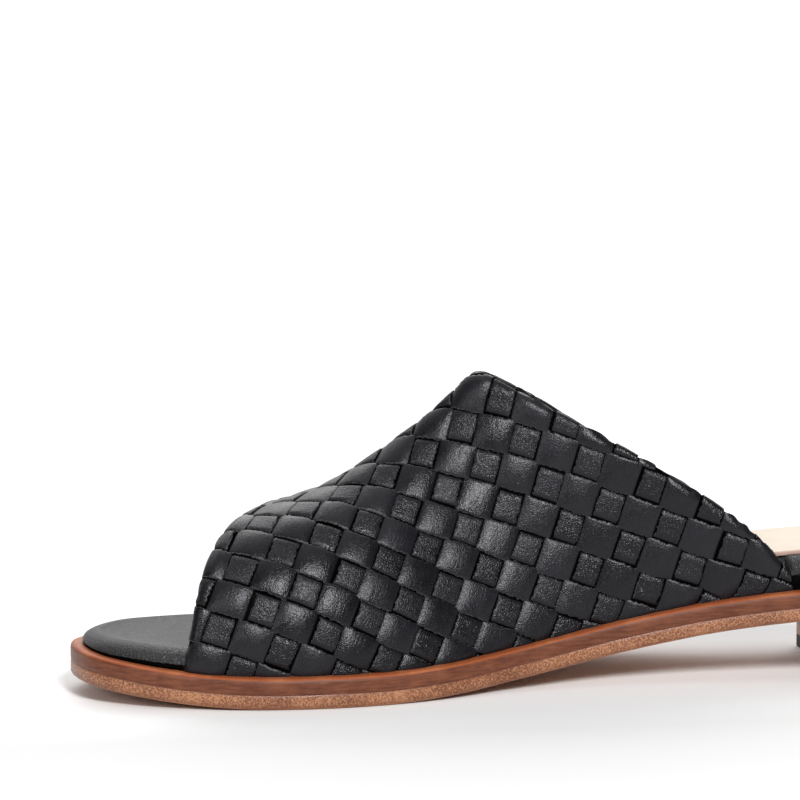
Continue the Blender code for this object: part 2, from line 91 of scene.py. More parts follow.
def ease(low: float, high: float, at: Array) -> Array:
    """Smooth step: 0 below low, 1 above high, and 3t^2 - 2t^3 between."""
    part = np.clip((at - low) / (high - low), 0.0, 1.0)
    return part * part * (3.0 - 2.0 * part)


def grid_faces(rows: int, columns: int, wrap: bool, first: int = 0) -> Array:
    """Quads that join neighbouring points of a grid.

    Args:
        rows: Number of rows.
        columns: Number of points in a row.
        wrap: Whether each row closes on itself.
        first: Number of the grid's first vertex.

    Returns:
        One row of four vertex numbers per quad.
    """
    number = first + np.arange(rows * columns).reshape(rows, columns)
    after = np.roll(number, -1, 1)
    last = columns if wrap else columns - 1
    low, high = number[:-1, :last], number[1:, :last]
    low_after, high_after = after[:-1, :last], after[1:, :last]
    return np.stack([low, low_after, high_after, high], 2).reshape(-1, 4)


# Shader helpers


class Field:
    """A shader socket that arithmetic can be written with."""

    def __init__(self, paint: Paint, socket: Socket) -> None:
        """Keeps the socket and the paint whose nodes it belongs to."""
        self.paint = paint
        self.socket = socket

    def combine(self, operation: str, *others: Field | float) -> Field:
        """Adds one Math node.

        Args:
            operation: The Math node's operation.
            others: Its further inputs.

        Returns:
            The node's result.
        """
        inputs = dict(enumerate((self, *others)))
        node = self.paint.node("ShaderNodeMath", {"operation": operation}, inputs)
        return Field(self.paint, node.outputs[0])

    def __add__(self, other: Field | float) -> Field:
        """Sum."""
        return self.combine("ADD", other)

    __radd__ = __add__

    def __mul__(self, other: Field | float) -> Field:
        """Product."""
        return self.combine("MULTIPLY", other)

    __rmul__ = __mul__

    def __sub__(self, other: Field | float) -> Field:
        """Difference."""
        return self.combine("SUBTRACT", other)

    def __rsub__(self, other: float) -> Field:
        """Difference from a number."""
        return self * -1.0 + other

    def span(self, low: float, high: float, to_low: float = 0.0, to_high: float = 1.0) -> Field:
        """Adds a smooth step.

        Args:
            low: Value at which the step starts.
            high: Value at which it ends.
            to_low: Result up to low.
            to_high: Result from high on.

        Returns:
            The step.
        """
        settings = {"interpolation_type": "SMOOTHSTEP"}
        inputs = {"Value": self, "From Min": low, "From Max": high, "To Min": to_low, "To Max": to_high}
        return Field(self.paint, self.paint.node("ShaderNodeMapRange", settings, inputs).outputs["Result"])


class Paint:
    """A procedural material under construction."""

    def __init__(self, name: str) -> None:
        """Makes a material with one Principled shader.

        Args:
            name: The material's name.
        """
        self.material = bpy.data.materials.new(name)
        self.material.use_nodes = True
        self.tree = self.material.node_tree
        self.shader = self.tree.nodes["Principled BSDF"]

    def node(
        self,
        kind: str,
        settings: dict[str, object] | None = None,
        inputs: dict[str | int, object] | None = None,
    ) -> bpy.types.Node:
        """Adds a node.

        Args:
            kind: Its type.
            settings: Its own settings, set first; "stops" is a ramp's list of (place, color).
            inputs: Values or links of its sockets.

        Returns:
            The node.
        """
        made = self.tree.nodes.new(kind)
        for key, value in (settings or {}).items():
            if key == "stops":
                stops = made.color_ramp.elements
                while len(stops) < len(value):
                    stops.new(1.0)
                for stop, (place, color) in zip(stops, value):
                    stop.position = place
                    stop.color = (*color, 1.0)
            else:
                setattr(made, key, value)
        for key, value in (inputs or {}).items():
            self.feed(made.inputs[key], value)
        return made

    def feed(self, socket: Socket, value: object) -> None:
        """Links a field or socket, or sets a plain value.

        Args:
            socket: The input.
            value: What goes into it.
        """
        if isinstance(value, Field):
            value = value.socket
        if isinstance(value, Socket):
            self.tree.links.new(value, socket)
        else:
            socket.default_value = value

    def place(self, scale: Scale = (1.0, 1.0, 1.0), turn: float = 0.0) -> Socket:
        """Object coordinates in millimetres.

        Args:
            scale: Stretches the coordinates along each axis.
            turn: Turns them about the upright, radians.

        Returns:
            The coordinates.
        """
        source = self.node("ShaderNodeTexCoord").outputs["Object"]
        inputs = {"Vector": source, "Rotation": (0.0, 0.0, turn)}
        inputs["Scale"] = tuple(part / MM for part in scale)
        return self.node("ShaderNodeMapping", None, inputs).outputs["Vector"]

    def strip_place(self, scale: Scale = (1.0, 1.0, 1.0)) -> Socket:
        """Coordinates along and across a strip in millimetres, scaled."""
        source = self.node("ShaderNodeUVMap", {"uv_map": "strip"}).outputs["UV"]
        return self.node("ShaderNodeMapping", None, {"Vector": source, "Scale": scale}).outputs["Vector"]

    def read(self, name: str) -> Field:
        """A number stored on the mesh."""
        return Field(self, self.node("ShaderNodeAttribute", {"attribute_name": name}).outputs["Fac"])

    def noise(self, place: Socket, size: float, detail: float = 2.0, rough: float = 0.5) -> Field:
        """Soft noise whose spots are about size millimetres across."""
        inputs = {"Vector": place, "Scale": 1.0 / size, "Detail": detail, "Roughness": rough}
        return Field(self, self.node("ShaderNodeTexNoise", None, inputs).outputs["Fac"])

    def cells(self, place: Socket, size: float, feature: str = "DISTANCE_TO_EDGE") -> Field:
        """Cell pattern, like leather pores.

        Args:
            place: Where it is read.
            size: About how wide a cell is, in millimetres.
            feature: What is measured in each cell.

        Returns:
            The distance to the cell's edge or, for F1, to its middle.
        """
        inputs = {"Vector": place, "Scale": 1.0 / size}
        node = self.node("ShaderNodeTexVoronoi", {"feature": feature}, inputs)
        return Field(self, node.outputs["Distance"])

    def mix(self, factor: Field | float, one: object, two: object) -> Socket:
        """Mixes two colors."""
        inputs = {0: factor, 6: self.as_color(one), 7: self.as_color(two)}
        return self.node("ShaderNodeMix", {"data_type": "RGBA"}, inputs).outputs[2]

    def as_color(self, value: object) -> object:
        """Gives a plain color its alpha and leaves a link as it is."""
        return (*value, 1.0) if isinstance(value, tuple) else value

    def ramp(self, value: Field, *colors: Color) -> Socket:
        """Color that runs through the given ones, evenly spaced, as the value goes from 0 to 1."""
        stops = [(index / (len(colors) - 1), color) for index, color in enumerate(colors)]
        return self.node("ShaderNodeValToRGB", {"stops": stops}, {"Fac": value}).outputs["Color"]

    def bump(self, height: Field, depth: float, strength: float = 1.0) -> None:
        """Feeds the shader's normal from a height of 0 to 1 that stands for depth millimetres."""
        inputs = {"Height": height, "Distance": depth * MM, "Strength": strength}
        self.feed(self.shader.inputs["Normal"], self.node("ShaderNodeBump", None, inputs).outputs["Normal"])

    def mute(self, amount: Field) -> None:
        """Paints shade: mixes in a black matt surface, as the shade down in a crevice.

        Args:
            amount: How far, 0 to 1.
        """
        # painted shade: a black matt surface mixed in where shade would fall
        black = self.node("ShaderNodeBsdfDiffuse", None, {"Color": (0.001, 0.001, 0.001, 1.0)})
        inputs = {0: amount, 1: self.shader.outputs[0], 2: black.outputs[0]}
        both = self.node("ShaderNodeMixShader", None, inputs)
        self.feed(self.tree.nodes["Material Output"].inputs["Surface"], both.outputs[0])

    def finish(self, **values: object) -> Material:
        """Sets the shader's sockets.

        Args:
            values: Values or links by the socket's name, with _ for a space.

        Returns:
            The material.
        """
        for key, value in values.items():
            self.feed(self.shader.inputs[key.replace("_", " ")], self.as_color(value))
        return self.material


# Finishes


@dataclass(frozen=True)
class StripLeather:
    """Satin black nappa of the woven strips, raw and a little paler along its cut edges, with painted shade
    in the crevices where one strip dives under another.
    """

    name: str = "black_strip_leather"
    color: Color = (0.0038, 0.0036, 0.0049)
    pale: Color = (0.0082, 0.0078, 0.0102)
    raw: Color = (0.085, 0.082, 0.082)
    sheen: Color = (0.96, 0.95, 1.00)
    roughness: float = 0.29
    grain: float = 0.62

    def material(self) -> Material:
        """Builds the material.

        Returns:
            The material.
        """
        paint = Paint(self.name)
        place = paint.strip_place()
        pebbled = paint.read("pebbled")
        pebbles = paint.cells(place, self.grain).span(0.0, 0.32)
        fine = paint.noise(place, 0.50, 3.0, 0.6)
        soft = paint.noise(place, 3.5)
        creases = paint.noise(paint.strip_place((1.0, 0.35, 1.0)), 0.9, 3.0, 0.6)
        tone = paint.read("tone")
        edge = paint.read("edge").span(0.935, 0.99)
        frayed = edge * paint.noise(place, 0.5).span(0.40, 0.60)
        body = paint.mix((tone * 0.4 + soft * 0.6).span(0.3, 0.8), self.color, self.pale)
        deep = paint.read("deep")
        color = paint.mix(frayed, body, self.raw)
        roughness = soft * 0.14 + fine * 0.12 + tone * 0.06 + edge * 0.30 + (self.roughness - 0.15)
        # painted shade in the crevices where a strip dives under its cover
        paint.mute((deep + fine * 0.4 - 0.20).span(0.05, 0.60) * 0.97)
        paint.bump(pebbles * (pebbled * 0.24 + 0.20) + fine * 0.60 + creases, 0.11)
        return paint.finish(
            Base_Color=color,
            Roughness=roughness,
            Specular_IOR_Level=0.34,
            Specular_Tint=self.sheen,
        )


@dataclass(frozen=True)
class BedLeather:
    """Smooth black lining leather over padding, crumpled near its lower edge, with painted shade along that
    edge where it meets the welt.
    """

    name: str = "black_bed_leather"
    color: Color = (0.014, 0.0142, 0.0155)
    pale: Color = (0.024, 0.024, 0.026)
    roughness: float = 0.47

    def material(self) -> Material:
        """Builds the material.

        Returns:
            The material.
        """
        paint = Paint(self.name)
        place = paint.place()
        pores = paint.cells(place, 0.75).span(0.0, 0.3)
        fine = paint.noise(place, 0.6, 3.0, 0.6)
        soft = paint.noise(place, 9.0)
        low = paint.read("low")
        folds = paint.noise(paint.place((0.7, 0.7, 1.6), 0.5), 1.5)
        color = paint.mix(soft.span(0.3, 0.75), self.color, self.pale)
        roughness = soft * 0.10 + fine * 0.08 + (self.roughness - 0.09)
        paint.bump(pores * 0.5 + fine * 0.5 + folds * low * 2.0, 0.30)
        # painted shade along the lowest edge, where the footbed meets the welt
        paint.mute((low + fine * 0.5).span(1.02, 1.16) * 0.95)
        return paint.finish(Base_Color=color, Roughness=roughness, Specular_IOR_Level=0.45)


@dataclass(frozen=True)
class LiningLeather:
    """Thin black lining inside the upper."""

    name: str = "black_lining"
    color: Color = (0.016, 0.016, 0.018)
    pale: Color = (0.030, 0.030, 0.033)

    def material(self) -> Material:
        """Builds the material.

        Returns:
            The material.
        """
        paint = Paint(self.name)
        place = paint.place()
        soft = paint.noise(place, 7.0, 3.0)
        fine = paint.noise(place, 0.5, 3.0, 0.65)
        color = paint.mix(soft.span(0.3, 0.7), self.color, self.pale)
        paint.bump(fine * 0.6 + soft * 0.8, 0.15, 0.7)
        return paint.finish(Base_Color=color, Roughness=fine * 0.15 + 0.55)


@dataclass(frozen=True)
class SockLeather:
    """Pale beige sock, its cut rim a pinkish brown."""

    name: str = "beige_sock_leather"
    color: Color = (0.69, 0.585, 0.475)
    pale: Color = (0.73, 0.63, 0.52)
    rim: Color = (0.43, 0.27, 0.22)

    def material(self) -> Material:
        """Builds the material.

        Returns:
            The material.
        """
        paint = Paint(self.name)
        place = paint.place()
        soft = paint.noise(place, 12.0, 3.0)
        fine = paint.noise(place, 0.45, 3.0, 0.6)
        pores = paint.cells(place, 0.7).span(0.0, 0.3)
        body = paint.mix(soft.span(0.3, 0.7), self.color, self.pale)
        color = paint.mix(paint.read("rim"), body, self.rim)
        paint.bump(pores * 0.4 + fine * 0.4, 0.07, 0.7)
        return paint.finish(Base_Color=color, Roughness=fine * 0.12 + 0.52)


@dataclass(frozen=True)
class WeltEdge:
    """Stained and burnished welt: dark red-brown side, lighter orange-brown ledge."""

    name: str = "welt_leather"
    dark: Color = (0.100, 0.030, 0.015)
    side: Color = (0.200, 0.068, 0.034)
    ledge: Color = (0.30, 0.075, 0.024)
    worn: Color = (0.40, 0.130, 0.050)

    def material(self) -> Material:
        """Builds the material.

        Returns:
            The material.
        """
        paint = Paint(self.name)
        place = paint.place()
        along = paint.place((0.12, 0.12, 1.0))
        streaks = paint.noise(along, 0.7, 4.0, 0.6)
        blotches = paint.noise(place, 9.0, 4.0, 0.6)
        fine = paint.noise(place, 0.35, 3.0, 0.65)
        ledge = paint.read("ledge")
        side = paint.mix((streaks * 0.6 + blotches * 0.4).span(0.35, 0.66), self.dark, self.side)
        top = paint.mix(blotches.span(0.40, 0.72), self.ledge, self.worn)
        color = paint.mix((ledge + (fine - 0.5) * 0.25).span(0.32, 0.62), side, top)
        paint.bump(streaks * 0.6 + fine * 0.5, 0.10, 0.7)
        roughness = fine * 0.20 + blotches * 0.12 + 0.30
        return paint.finish(Base_Color=color, Roughness=roughness, Specular_IOR_Level=0.24)


@dataclass(frozen=True)
class OutsoleEdge:
    """Tan-brown outsole leather: stippled grain on its edge, smooth and scuffed underneath."""

    name: str = "outsole_leather"
    dark: Color = (0.115, 0.036, 0.014)
    mid: Color = (0.230, 0.082, 0.034)
    light: Color = (0.420, 0.190, 0.092)

    def material(self) -> Material:
        """Builds the material.

        Returns:
            The material.
        """
        paint = Paint(self.name)
        place = paint.place()
        specks = paint.cells(place, 0.50, "F1")
        fine = paint.noise(place, 0.48, 3.0, 0.7)
        blotches = paint.noise(place, 16.0, 3.0, 0.55)
        along = paint.noise(paint.place((0.1, 0.1, 1.0)), 0.9, 3.0, 0.6)
        under = paint.read("under")
        low = paint.read("low")
        mottle = (specks * 0.65 + fine * 0.85 + (blotches - 0.5) * 0.6).span(0.42, 1.02)
        grainy = paint.ramp(mottle, self.dark, self.mid, self.light)
        smooth = paint.mix((along * 0.5 + blotches * 0.5).span(0.3, 0.7), self.mid, self.light)
        # darker along the rounded low edge and along the top below the welt, by the low mark
        edge = paint.mix(low * 0.65, grainy, self.dark)
        color = paint.mix(under, edge, smooth)
        paint.bump(specks * 0.5 + fine * 0.7, 0.10, 0.7)
        return paint.finish(Base_Color=color, Roughness=fine * 0.25 + 0.34, Coat_Weight=0.08)


@dataclass(frozen=True)
class StackedLeather:
    """Stained leather lifts of the heel, one thin line between neighbours; lift in millimetres."""

    name: str = "stacked_heel_leather"
    dark: Color = (0.150, 0.058, 0.025)
    mid: Color = (0.300, 0.135, 0.060)
    light: Color = (0.430, 0.220, 0.105)
    lift: float = 3.4

    def material(self) -> Material:
        """Builds the material.

        Returns:
            The material.
        """
        paint = Paint(self.name)
        place = paint.place()
        split = paint.node("ShaderNodeSeparateXYZ", None, {"Vector": place})
        height = Field(paint, split.outputs["Z"]) * (1.0 / self.lift)
        layer = height.combine("FLOOR")
        line = height.combine("FRACT").span(0.0, 0.07, 1.0, 0.0)
        streaks = paint.noise(paint.place((0.1, 0.1, 1.4)), 0.8, 4.0, 0.65)
        fine = paint.noise(place, 0.4, 3.0, 0.65)
        shade = (layer * 2.37).combine("SINE") * 0.14 + streaks * 0.7 + fine * 0.25
        body = paint.ramp(shade.span(0.2, 0.85), self.dark, self.mid, self.light)
        color = paint.mix(line * 0.8, body, self.dark)
        paint.bump(streaks * 0.6 + fine * 0.3 - line, 0.12, 0.7)
        return paint.finish(Base_Color=color, Roughness=fine * 0.2 + 0.32, Coat_Weight=0.15)


@dataclass(frozen=True)
class HeelRubber:
    """Dark top-piece rubber with a matt, faintly scuffed surface."""

    name: str = "heel_rubber"
    color: Color = (0.030, 0.028, 0.026)
    scuff: Color = (0.085, 0.078, 0.070)

    def material(self) -> Material:
        """Builds the material.

        Returns:
            The material.
        """
        paint = Paint(self.name)
        place = paint.place()
        fine = paint.noise(place, 0.6, 4.0, 0.7)
        scuffs = paint.noise(place, 5.0, 4.0, 0.7).span(0.55, 0.75)
        color = paint.mix(scuffs * fine, self.color, self.scuff)
        paint.bump(fine, 0.12, 0.6)
        return paint.finish(Base_Color=color, Roughness=fine * 0.2 + 0.62)


# Pieces


def make_piece(
    name: str,
    points: Array,
    faces: list,
    material: Material,
    marks: dict[str, Array] | None = None,
    crisp: float = 40.0,
) -> Item:
    """Turns arrays into a smooth-shaded mesh object.

    Args:
        name: The piece's name.
        points: Its vertices.
        faces: Its faces as lists of vertex numbers.
        material: Its finish.
        marks: Numbers per vertex, stored under their names for the finish to read.
        crisp: Edges that turn by more degrees than this stay sharp.

    Returns:
        The object, at the origin.
    """
    mesh = bpy.data.meshes.new(name)
    mesh.from_pydata(points.tolist(), [], faces)
    for key, values in (marks or {}).items():
        stored = mesh.attributes.new(key, "FLOAT", "POINT")
        stored.data.foreach_set("value", values.astype(np.float32).ravel())
    mesh.materials.append(material)
    build = bmesh.new()
    build.from_mesh(mesh)
    bmesh.ops.remove_doubles(build, verts=build.verts, dist=1e-6)
    bmesh.ops.recalc_face_normals(build, faces=build.faces)
    build.to_mesh(mesh)
    build.free()
    mesh.shade_smooth()
    mesh.set_sharp_from_angle(angle=math.radians(crisp))
    item = bpy.data.objects.new(name, mesh)
    bpy.context.scene.collection.objects.link(item)
    return item


def seat(item: Item, slot: str, *nodes: str) -> Item:
    """Lets a piece ride on the shoe and reports it.

    Args:
        item: The piece.
        slot: Its slot; not used.
        nodes: The solids that it stands for.

    Returns:
        The piece.
    """
    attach(item, "root")
    if nodes:
        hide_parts(*nodes)
    LOG.info("%s: %d faces", item.name, len(item.data.polygons))
    return item


@dataclass(frozen=True)
class Last:
    """The last: the sole's plan, its side line and the sections of the upper."""

    length: float = 0.2550
    ball_width: float = 0.0890
    heel_width: float = 0.0610
    toe_spring: float = 0.0053
    heel_height: float = 0.0179
    outsole_thick: float = 0.0039
    welt_thick: float = 0.0043
    gap: float = 0.0003
    bed_thick: float = 0.0092
    ledge: float = 0.0034
    instep: float = 0.0861
    ridge_round: float = 1.30
    wall: float = 0.0026
    ease_height: float = 0.0060
    middle: float = 0.00125
    round_share: float = 0.08
    plan_points: int = 1440
    turn_points: int = 481
    # along, heel weight, inner side, outer side
    plan_rows: tuple = (
        (0.000, 0.0, 0.085, -0.085),
        (0.016, 0.0, 0.266, 0.082),
        (0.050, 0.0, 0.355, 0.215),
        (0.110, 0.0, 0.431, 0.338),
        (0.190, 0.0, 0.481, 0.429),
        (0.280, 0.0, 0.485, 0.491),
        (0.370, 0.0, 0.432, 0.518),
        (0.470, 0.3, 0.364, 0.521),
        (0.580, 0.6, 0.328, 0.516),
        (0.680, 0.8, 0.354, 0.490),
        (0.780, 1.0, 0.424, 0.490),
        (0.860, 1.0, 0.461, 0.490),
        (0.930, 1.0, 0.411, 0.420),
        (0.975, 1.0, 0.281, 0.280),
        (1.000, 1.0, 0.000, 0.000),
    )
    # along, share of the toe spring, share of the heel height
    under_rows: tuple = (
        (0.000, 1.000, 0.000),
        (0.040, 0.710, 0.000),
        (0.100, 0.320, 0.000),
        (0.170, 0.050, 0.000),
        (0.210, 0.000, 0.000),
        (0.330, 0.000, 0.000),
        (0.420, 0.000, 0.084),
        (0.500, 0.000, 0.250),
        (0.600, 0.000, 0.519),
        (0.700, 0.000, 0.774),
        (0.800, 0.000, 0.941),
        (0.900, 0.000, 1.000),
        (1.000, 0.000, 1.015),
    )
    # along, share of the footbed's thickness
    bed_rows: tuple = (
        (0.000, 0.360),
        (0.050, 0.500),
        (0.118, 0.590),
        (0.250, 0.620),
        (0.450, 0.800),
        (0.620, 0.980),
        (0.780, 1.000),
        (1.000, 0.960),
    )
    # inner base, outer base, ridge, side, top, square, slant, lean
    upper_rows: tuple = (
        (0.1195, 0.2710, 0.2140, 0.025, 0.573, 2.33, 0.400, 1.00),
        (0.3425, 0.4320, 0.2925, 0.005, 0.660, 2.24, 0.267, 1.23),
        (0.5655, 0.5930, 0.3710, -0.015, 0.817, 2.16, 0.133, 1.47),
        (0.7885, 0.7530, 0.4490, -0.035, 1.000, 2.07, 0.000, 1.70),
    )

    def plan(self, inset: float) -> tuple[Array, Array]:
        """Plan curve moved inwards: a periodic cubic through the table's sides over the turn angle.

        Args:
            inset: How far the curve moves inwards along its normals.

        Returns:
            The inner and the outer half, each from toe to heel.
        """
        rows = np.array(self.plan_rows)
        width = self.ball_width + (self.heel_width - self.ball_width) * rows[:, 1]
        turn = np.arccos(1.0 - 2.0 * rows[:, 0])
        knots = np.concatenate([-turn[::-1], turn[1:]])
        sides = np.concatenate([(-rows[:, 2] * width)[::-1], (rows[:, 3] * width)[1:]])
        wrap = 2.0 * math.pi
        knots = np.concatenate([knots[-3:-1] - wrap, knots, knots[1:3] + wrap])
        sides = np.concatenate([sides[-3:-1], sides, sides[1:3]])
        angle = np.linspace(-math.pi, math.pi, self.plan_points + 1)[:-1]
        curve = np.stack([(1.0 - np.cos(angle)) / 2.0 * self.length, through(knots, sides, angle)], 1)
        along = np.roll(curve, -1, 0) - np.roll(curve, 1, 0)
        along /= np.linalg.norm(along, axis=1, keepdims=True)
        curve = curve + inset * np.stack([along[:, 1], -along[:, 0]], 1)
        curve = np.roll(curve, -int(np.argmin(curve[:, 0])), 0)
        heel = int(np.argmax(curve[:, 0]))
        return np.concatenate([curve[heel:], curve[:1]])[::-1], curve[: heel + 1]

    def underside(self, x: Array) -> Array:
        """Height of the outsole's underside: the table's cubic, cut flat at the floor.

        Args:
            x: Places along the sole.

        Returns:
            Heights above the floor.
        """
        rows = np.array(self.under_rows)
        height = rows[:, 1] * self.toe_spring + rows[:, 2] * self.heel_height
        return np.maximum(through(rows[:, 0] * self.length, height, x), 0.0)

    def welt_top(self, x: Array) -> Array:
        """Height of the welt's upper face."""
        return self.underside(x) + self.outsole_thick + self.gap + self.welt_thick

    def bed_top(self, x: Array) -> Array:
        """Height of the footbed's upper face."""
        rows = np.array(self.bed_rows)
        return self.welt_top(x) + self.gap + through(rows[:, 0] * self.length, rows[:, 1] * self.bed_thick, x)

    def rail(self, shares: Array, inset: float | Array) -> tuple[Array, Array, Array]:
        """Both sides of the plan at shares of the length; only the rounded ends move with the inset.

        Args:
            shares: Places along the sole, 0 at the toe and 1 at the heel.
            inset: How far the sides move inwards.

        Returns:
            x, the inner side and the outer side.
        """
        toe = np.maximum(1.0 - shares / self.round_share, 0.0) ** 2
        heel = np.maximum(1.0 - (1.0 - shares) / self.round_share, 0.0) ** 2
        x = self.length * shares + inset * (toe - heel)
        inner, outer = self.plan(inset)
        return x, np.interp(x, inner[:, 0], inner[:, 1]), np.interp(x, outer[:, 0], outer[:, 1])

    def place(self, points: Array) -> Array:
        """Moves points from toe-based lengths to the frame."""
        return points - np.array([self.length / 2.0, self.middle, 0.0])

    def upper(self, rows: int, points: int) -> Array:
        """Outer face of the upper.

        Each section is a superellipse |y|^n + |z|^n = 1 from the inner base over the ridge to the
        outer base, leaned along the foot by its distance from the ridge.

        Args:
            rows: Number of sections from the toe opening to the instep opening.
            points: Points in a section, even by arc length on each side of the ridge.

        Returns:
            A grid of points.
        """
        table = np.array(self.upper_rows)
        knots = np.linspace(0.0, 1.0, len(table))
        share = np.linspace(0.0, 1.0, rows)
        inner_at, outer_at, ridge, side, top, square, slant, lean = (
            through(knots, table[:, index], share)[:, None] for index in range(table.shape[1])
        )
        inner_half, outer_half = self.plan(self.ledge)
        turn = np.linspace(0.0, math.pi, self.turn_points)[None, :]
        inner_side = np.cos(turn) > 0.0
        base_x = np.where(inner_side, inner_at, outer_at) * self.length
        base_y = np.where(
            inner_side,
            np.interp(base_x, inner_half[:, 0], inner_half[:, 1]),
            np.interp(base_x, outer_half[:, 0], outer_half[:, 1]),
        )
        base_z = self.welt_top(base_x) + self.gap
        out = np.abs(np.cos(turn)) ** (2.0 / square)
        rise = np.abs(np.sin(turn)) ** (2.0 / square)
        ridge_y = side * self.ball_width
        y = ridge_y + (base_y - ridge_y) * out
        z = base_z + (top * self.instep - base_z) * rise
        middle = turn.shape[1] // 2
        arc = np.concatenate([np.zeros((rows, 1)), np.cumsum(np.hypot(np.diff(y), np.diff(z)), 1)], 1)
        to_ridge = arc[:, middle : middle + 1]
        climb = np.where(inner_side, arc / to_ridge, (arc[:, -1:] - arc) / (arc[:, -1:] - to_ridge))
        away = np.clip(1.0 - climb, 0.0, 1.0)
        ridge_x = ridge * self.length
        across = np.where(inner_side, -1.0, 1.0) * slant * self.ball_width
        reach = 1.0 - (1.0 - away**self.ridge_round) ** lean
        x = ridge_x + across * away * (1.0 - away) + (base_x - ridge_x) * reach
        full = np.stack([x, y, z], 2)
        length = np.linalg.norm(np.diff(full, axis=1), axis=2)
        grid = np.empty((rows, points, 3))
        half = points // 2
        for row in range(rows):
            for first, last, start in ((0, middle, 0), (middle, turn.shape[1] - 1, half)):
                walk = np.concatenate([[0.0], np.cumsum(length[row, first:last])])
                even = np.linspace(0.0, walk[-1], half + 1)
                for axis in range(3):
                    side_points = np.interp(even, walk, full[row, first : last + 1, axis])
                    grid[row, start : start + half + 1, axis] = side_points
        return grid


class Pattern:
    """The upper's flat pattern and the way from it to the last."""

    fan = (-0.5, 0.9)  # first slant of the front and the rear section, radians

    def __init__(self, last: Last, sections: int = 13, points: int = 17, steps: int = 14) -> None:
        """Flattens the upper and keeps fine grids of it, flat and on the last.

        Args:
            last: The last.
            sections: Sections used for the flattening.
            points: Points of a section used for it.
            steps: How many cells of the fine grid make one of the coarse grid.
        """
        self.last = last
        coarse = last.upper(sections, points)
        self.coarse_flat = self.flatten(coarse)
        self.steps = steps
        self.flat = self.finer(self.coarse_flat, steps)
        rows, columns, _ = self.flat.shape
        self.solid = last.upper(rows, columns)
        normal = np.cross(np.gradient(self.solid, axis=1), np.gradient(self.solid, axis=0))
        normal /= np.linalg.norm(normal, axis=2, keepdims=True)
        normal *= np.sign(normal[rows // 2, columns // 2, 2])
        height = self.solid[:, :, 2] - np.maximum(self.solid[:, :1, 2], self.solid[:, -1:, 2])
        normal[:, :, 2] *= np.clip(height / last.ease_height, 0.0, 1.0)
        self.normal = normal / np.linalg.norm(normal, axis=2, keepdims=True)
        self.ring = self.outline(rows, columns)
        seated = (self.ring[:, 1] == 0.0) | (self.ring[:, 1] == columns - 1.0)
        front = (self.ring[:, 0] == 0.0) & ~seated
        kinds = np.stack([seated, front], 1).astype(float)
        self.kinds = np.stack([np.roll(kinds, shift, 0) for shift in range(-2, 3)]).mean(0)

    def flatten(self, grid: Array, rounds: int = 8) -> Array:
        """Lays the grid flat with its own lengths.

        Starts from the ridge as a straight line with the sections fanned out from it, then
        corrects all edge and diagonal lengths together by least squares.

        Args:
            grid: Points on the last.
            rounds: Number of corrections.

        Returns:
            The flat grid, its ridge along +x from the toe opening's top.
        """
        rows, points, _ = grid.shape
        number = np.arange(rows * points).reshape(rows, points)
        steps = ((number[:-1], number[1:]), (number[:, :-1], number[:, 1:]))
        steps += ((number[:-1, :-1], number[1:, 1:]), (number[1:, :-1], number[:-1, 1:]))
        one = np.concatenate([pair[0].ravel() for pair in steps])
        two = np.concatenate([pair[1].ravel() for pair in steps])
        solid = grid.reshape(-1, 3)
        length = np.linalg.norm(solid[one] - solid[two], axis=1)
        middle = points // 2
        ridge_steps = np.linalg.norm(np.diff(grid[:, middle], axis=0), axis=1)
        ridge = np.concatenate([[0.0], np.cumsum(ridge_steps)])
        arc_steps = np.linalg.norm(np.diff(grid, axis=1), axis=2)
        arc = np.concatenate([np.zeros((rows, 1)), np.cumsum(arc_steps, 1)], 1)
        arc = arc - arc[:, middle : middle + 1]
        fan = np.linspace(*self.fan, rows)[:, None]
        flat = np.stack([ridge[:, None] + np.abs(arc) * np.sin(fan), arc * np.cos(fan)], 2).reshape(-1, 2)
        for _ in range(rounds):
            apart = flat[one] - flat[two]
            now = np.linalg.norm(apart, axis=1)
            pull = apart / (now * length)[:, None]
            push = pull * (now / length - 1.0)[:, None]
            matrix = np.zeros((2 * len(flat), 2 * len(flat)))
            side = np.zeros(2 * len(flat))
            for a in range(2):
                np.add.at(side, 2 * one + a, push[:, a])
                np.add.at(side, 2 * two + a, -push[:, a])
                for b in range(2):
                    both = pull[:, a] * pull[:, b]
                    np.add.at(matrix, (2 * one + a, 2 * one + b), both)
                    np.add.at(matrix, (2 * two + a, 2 * two + b), both)
                    np.add.at(matrix, (2 * one + a, 2 * two + b), -both)
                    np.add.at(matrix, (2 * two + a, 2 * one + b), -both)
            matrix += np.eye(len(matrix)) * 1e-5 * np.trace(matrix) / len(matrix)
            flat = flat - np.linalg.solve(matrix, side).reshape(-1, 2)
        flat = flat.reshape(rows, points, 2)
        line = flat[-1, middle] - flat[0, middle]
        line = line / np.linalg.norm(line)
        moved = flat - flat[0, middle]
        return np.stack([moved @ line, moved @ np.array([-line[1], line[0]])], 2)

    def finer(self, grid: Array, steps: int) -> Array:
        """Refines a grid with the cubic of through(), first along the rows and then across.

        Args:
            grid: The coarse grid.
            steps: How many fine cells make a coarse one.

        Returns:
            The fine grid, which keeps the coarse points.
        """
        rows, points, size = grid.shape
        along = np.linspace(0, rows - 1, (rows - 1) * steps + 1)
        across = np.linspace(0, points - 1, (points - 1) * steps + 1)
        tall = np.empty((len(along), points, size))
        wide = np.empty((len(along), len(across), size))
        for axis in range(size):
            for point in range(points):
                tall[:, point, axis] = through(np.arange(rows), grid[:, point, axis], along)
            for row in range(len(along)):
                wide[row, :, axis] = through(np.arange(points), tall[row, :, axis], across)
        return wide

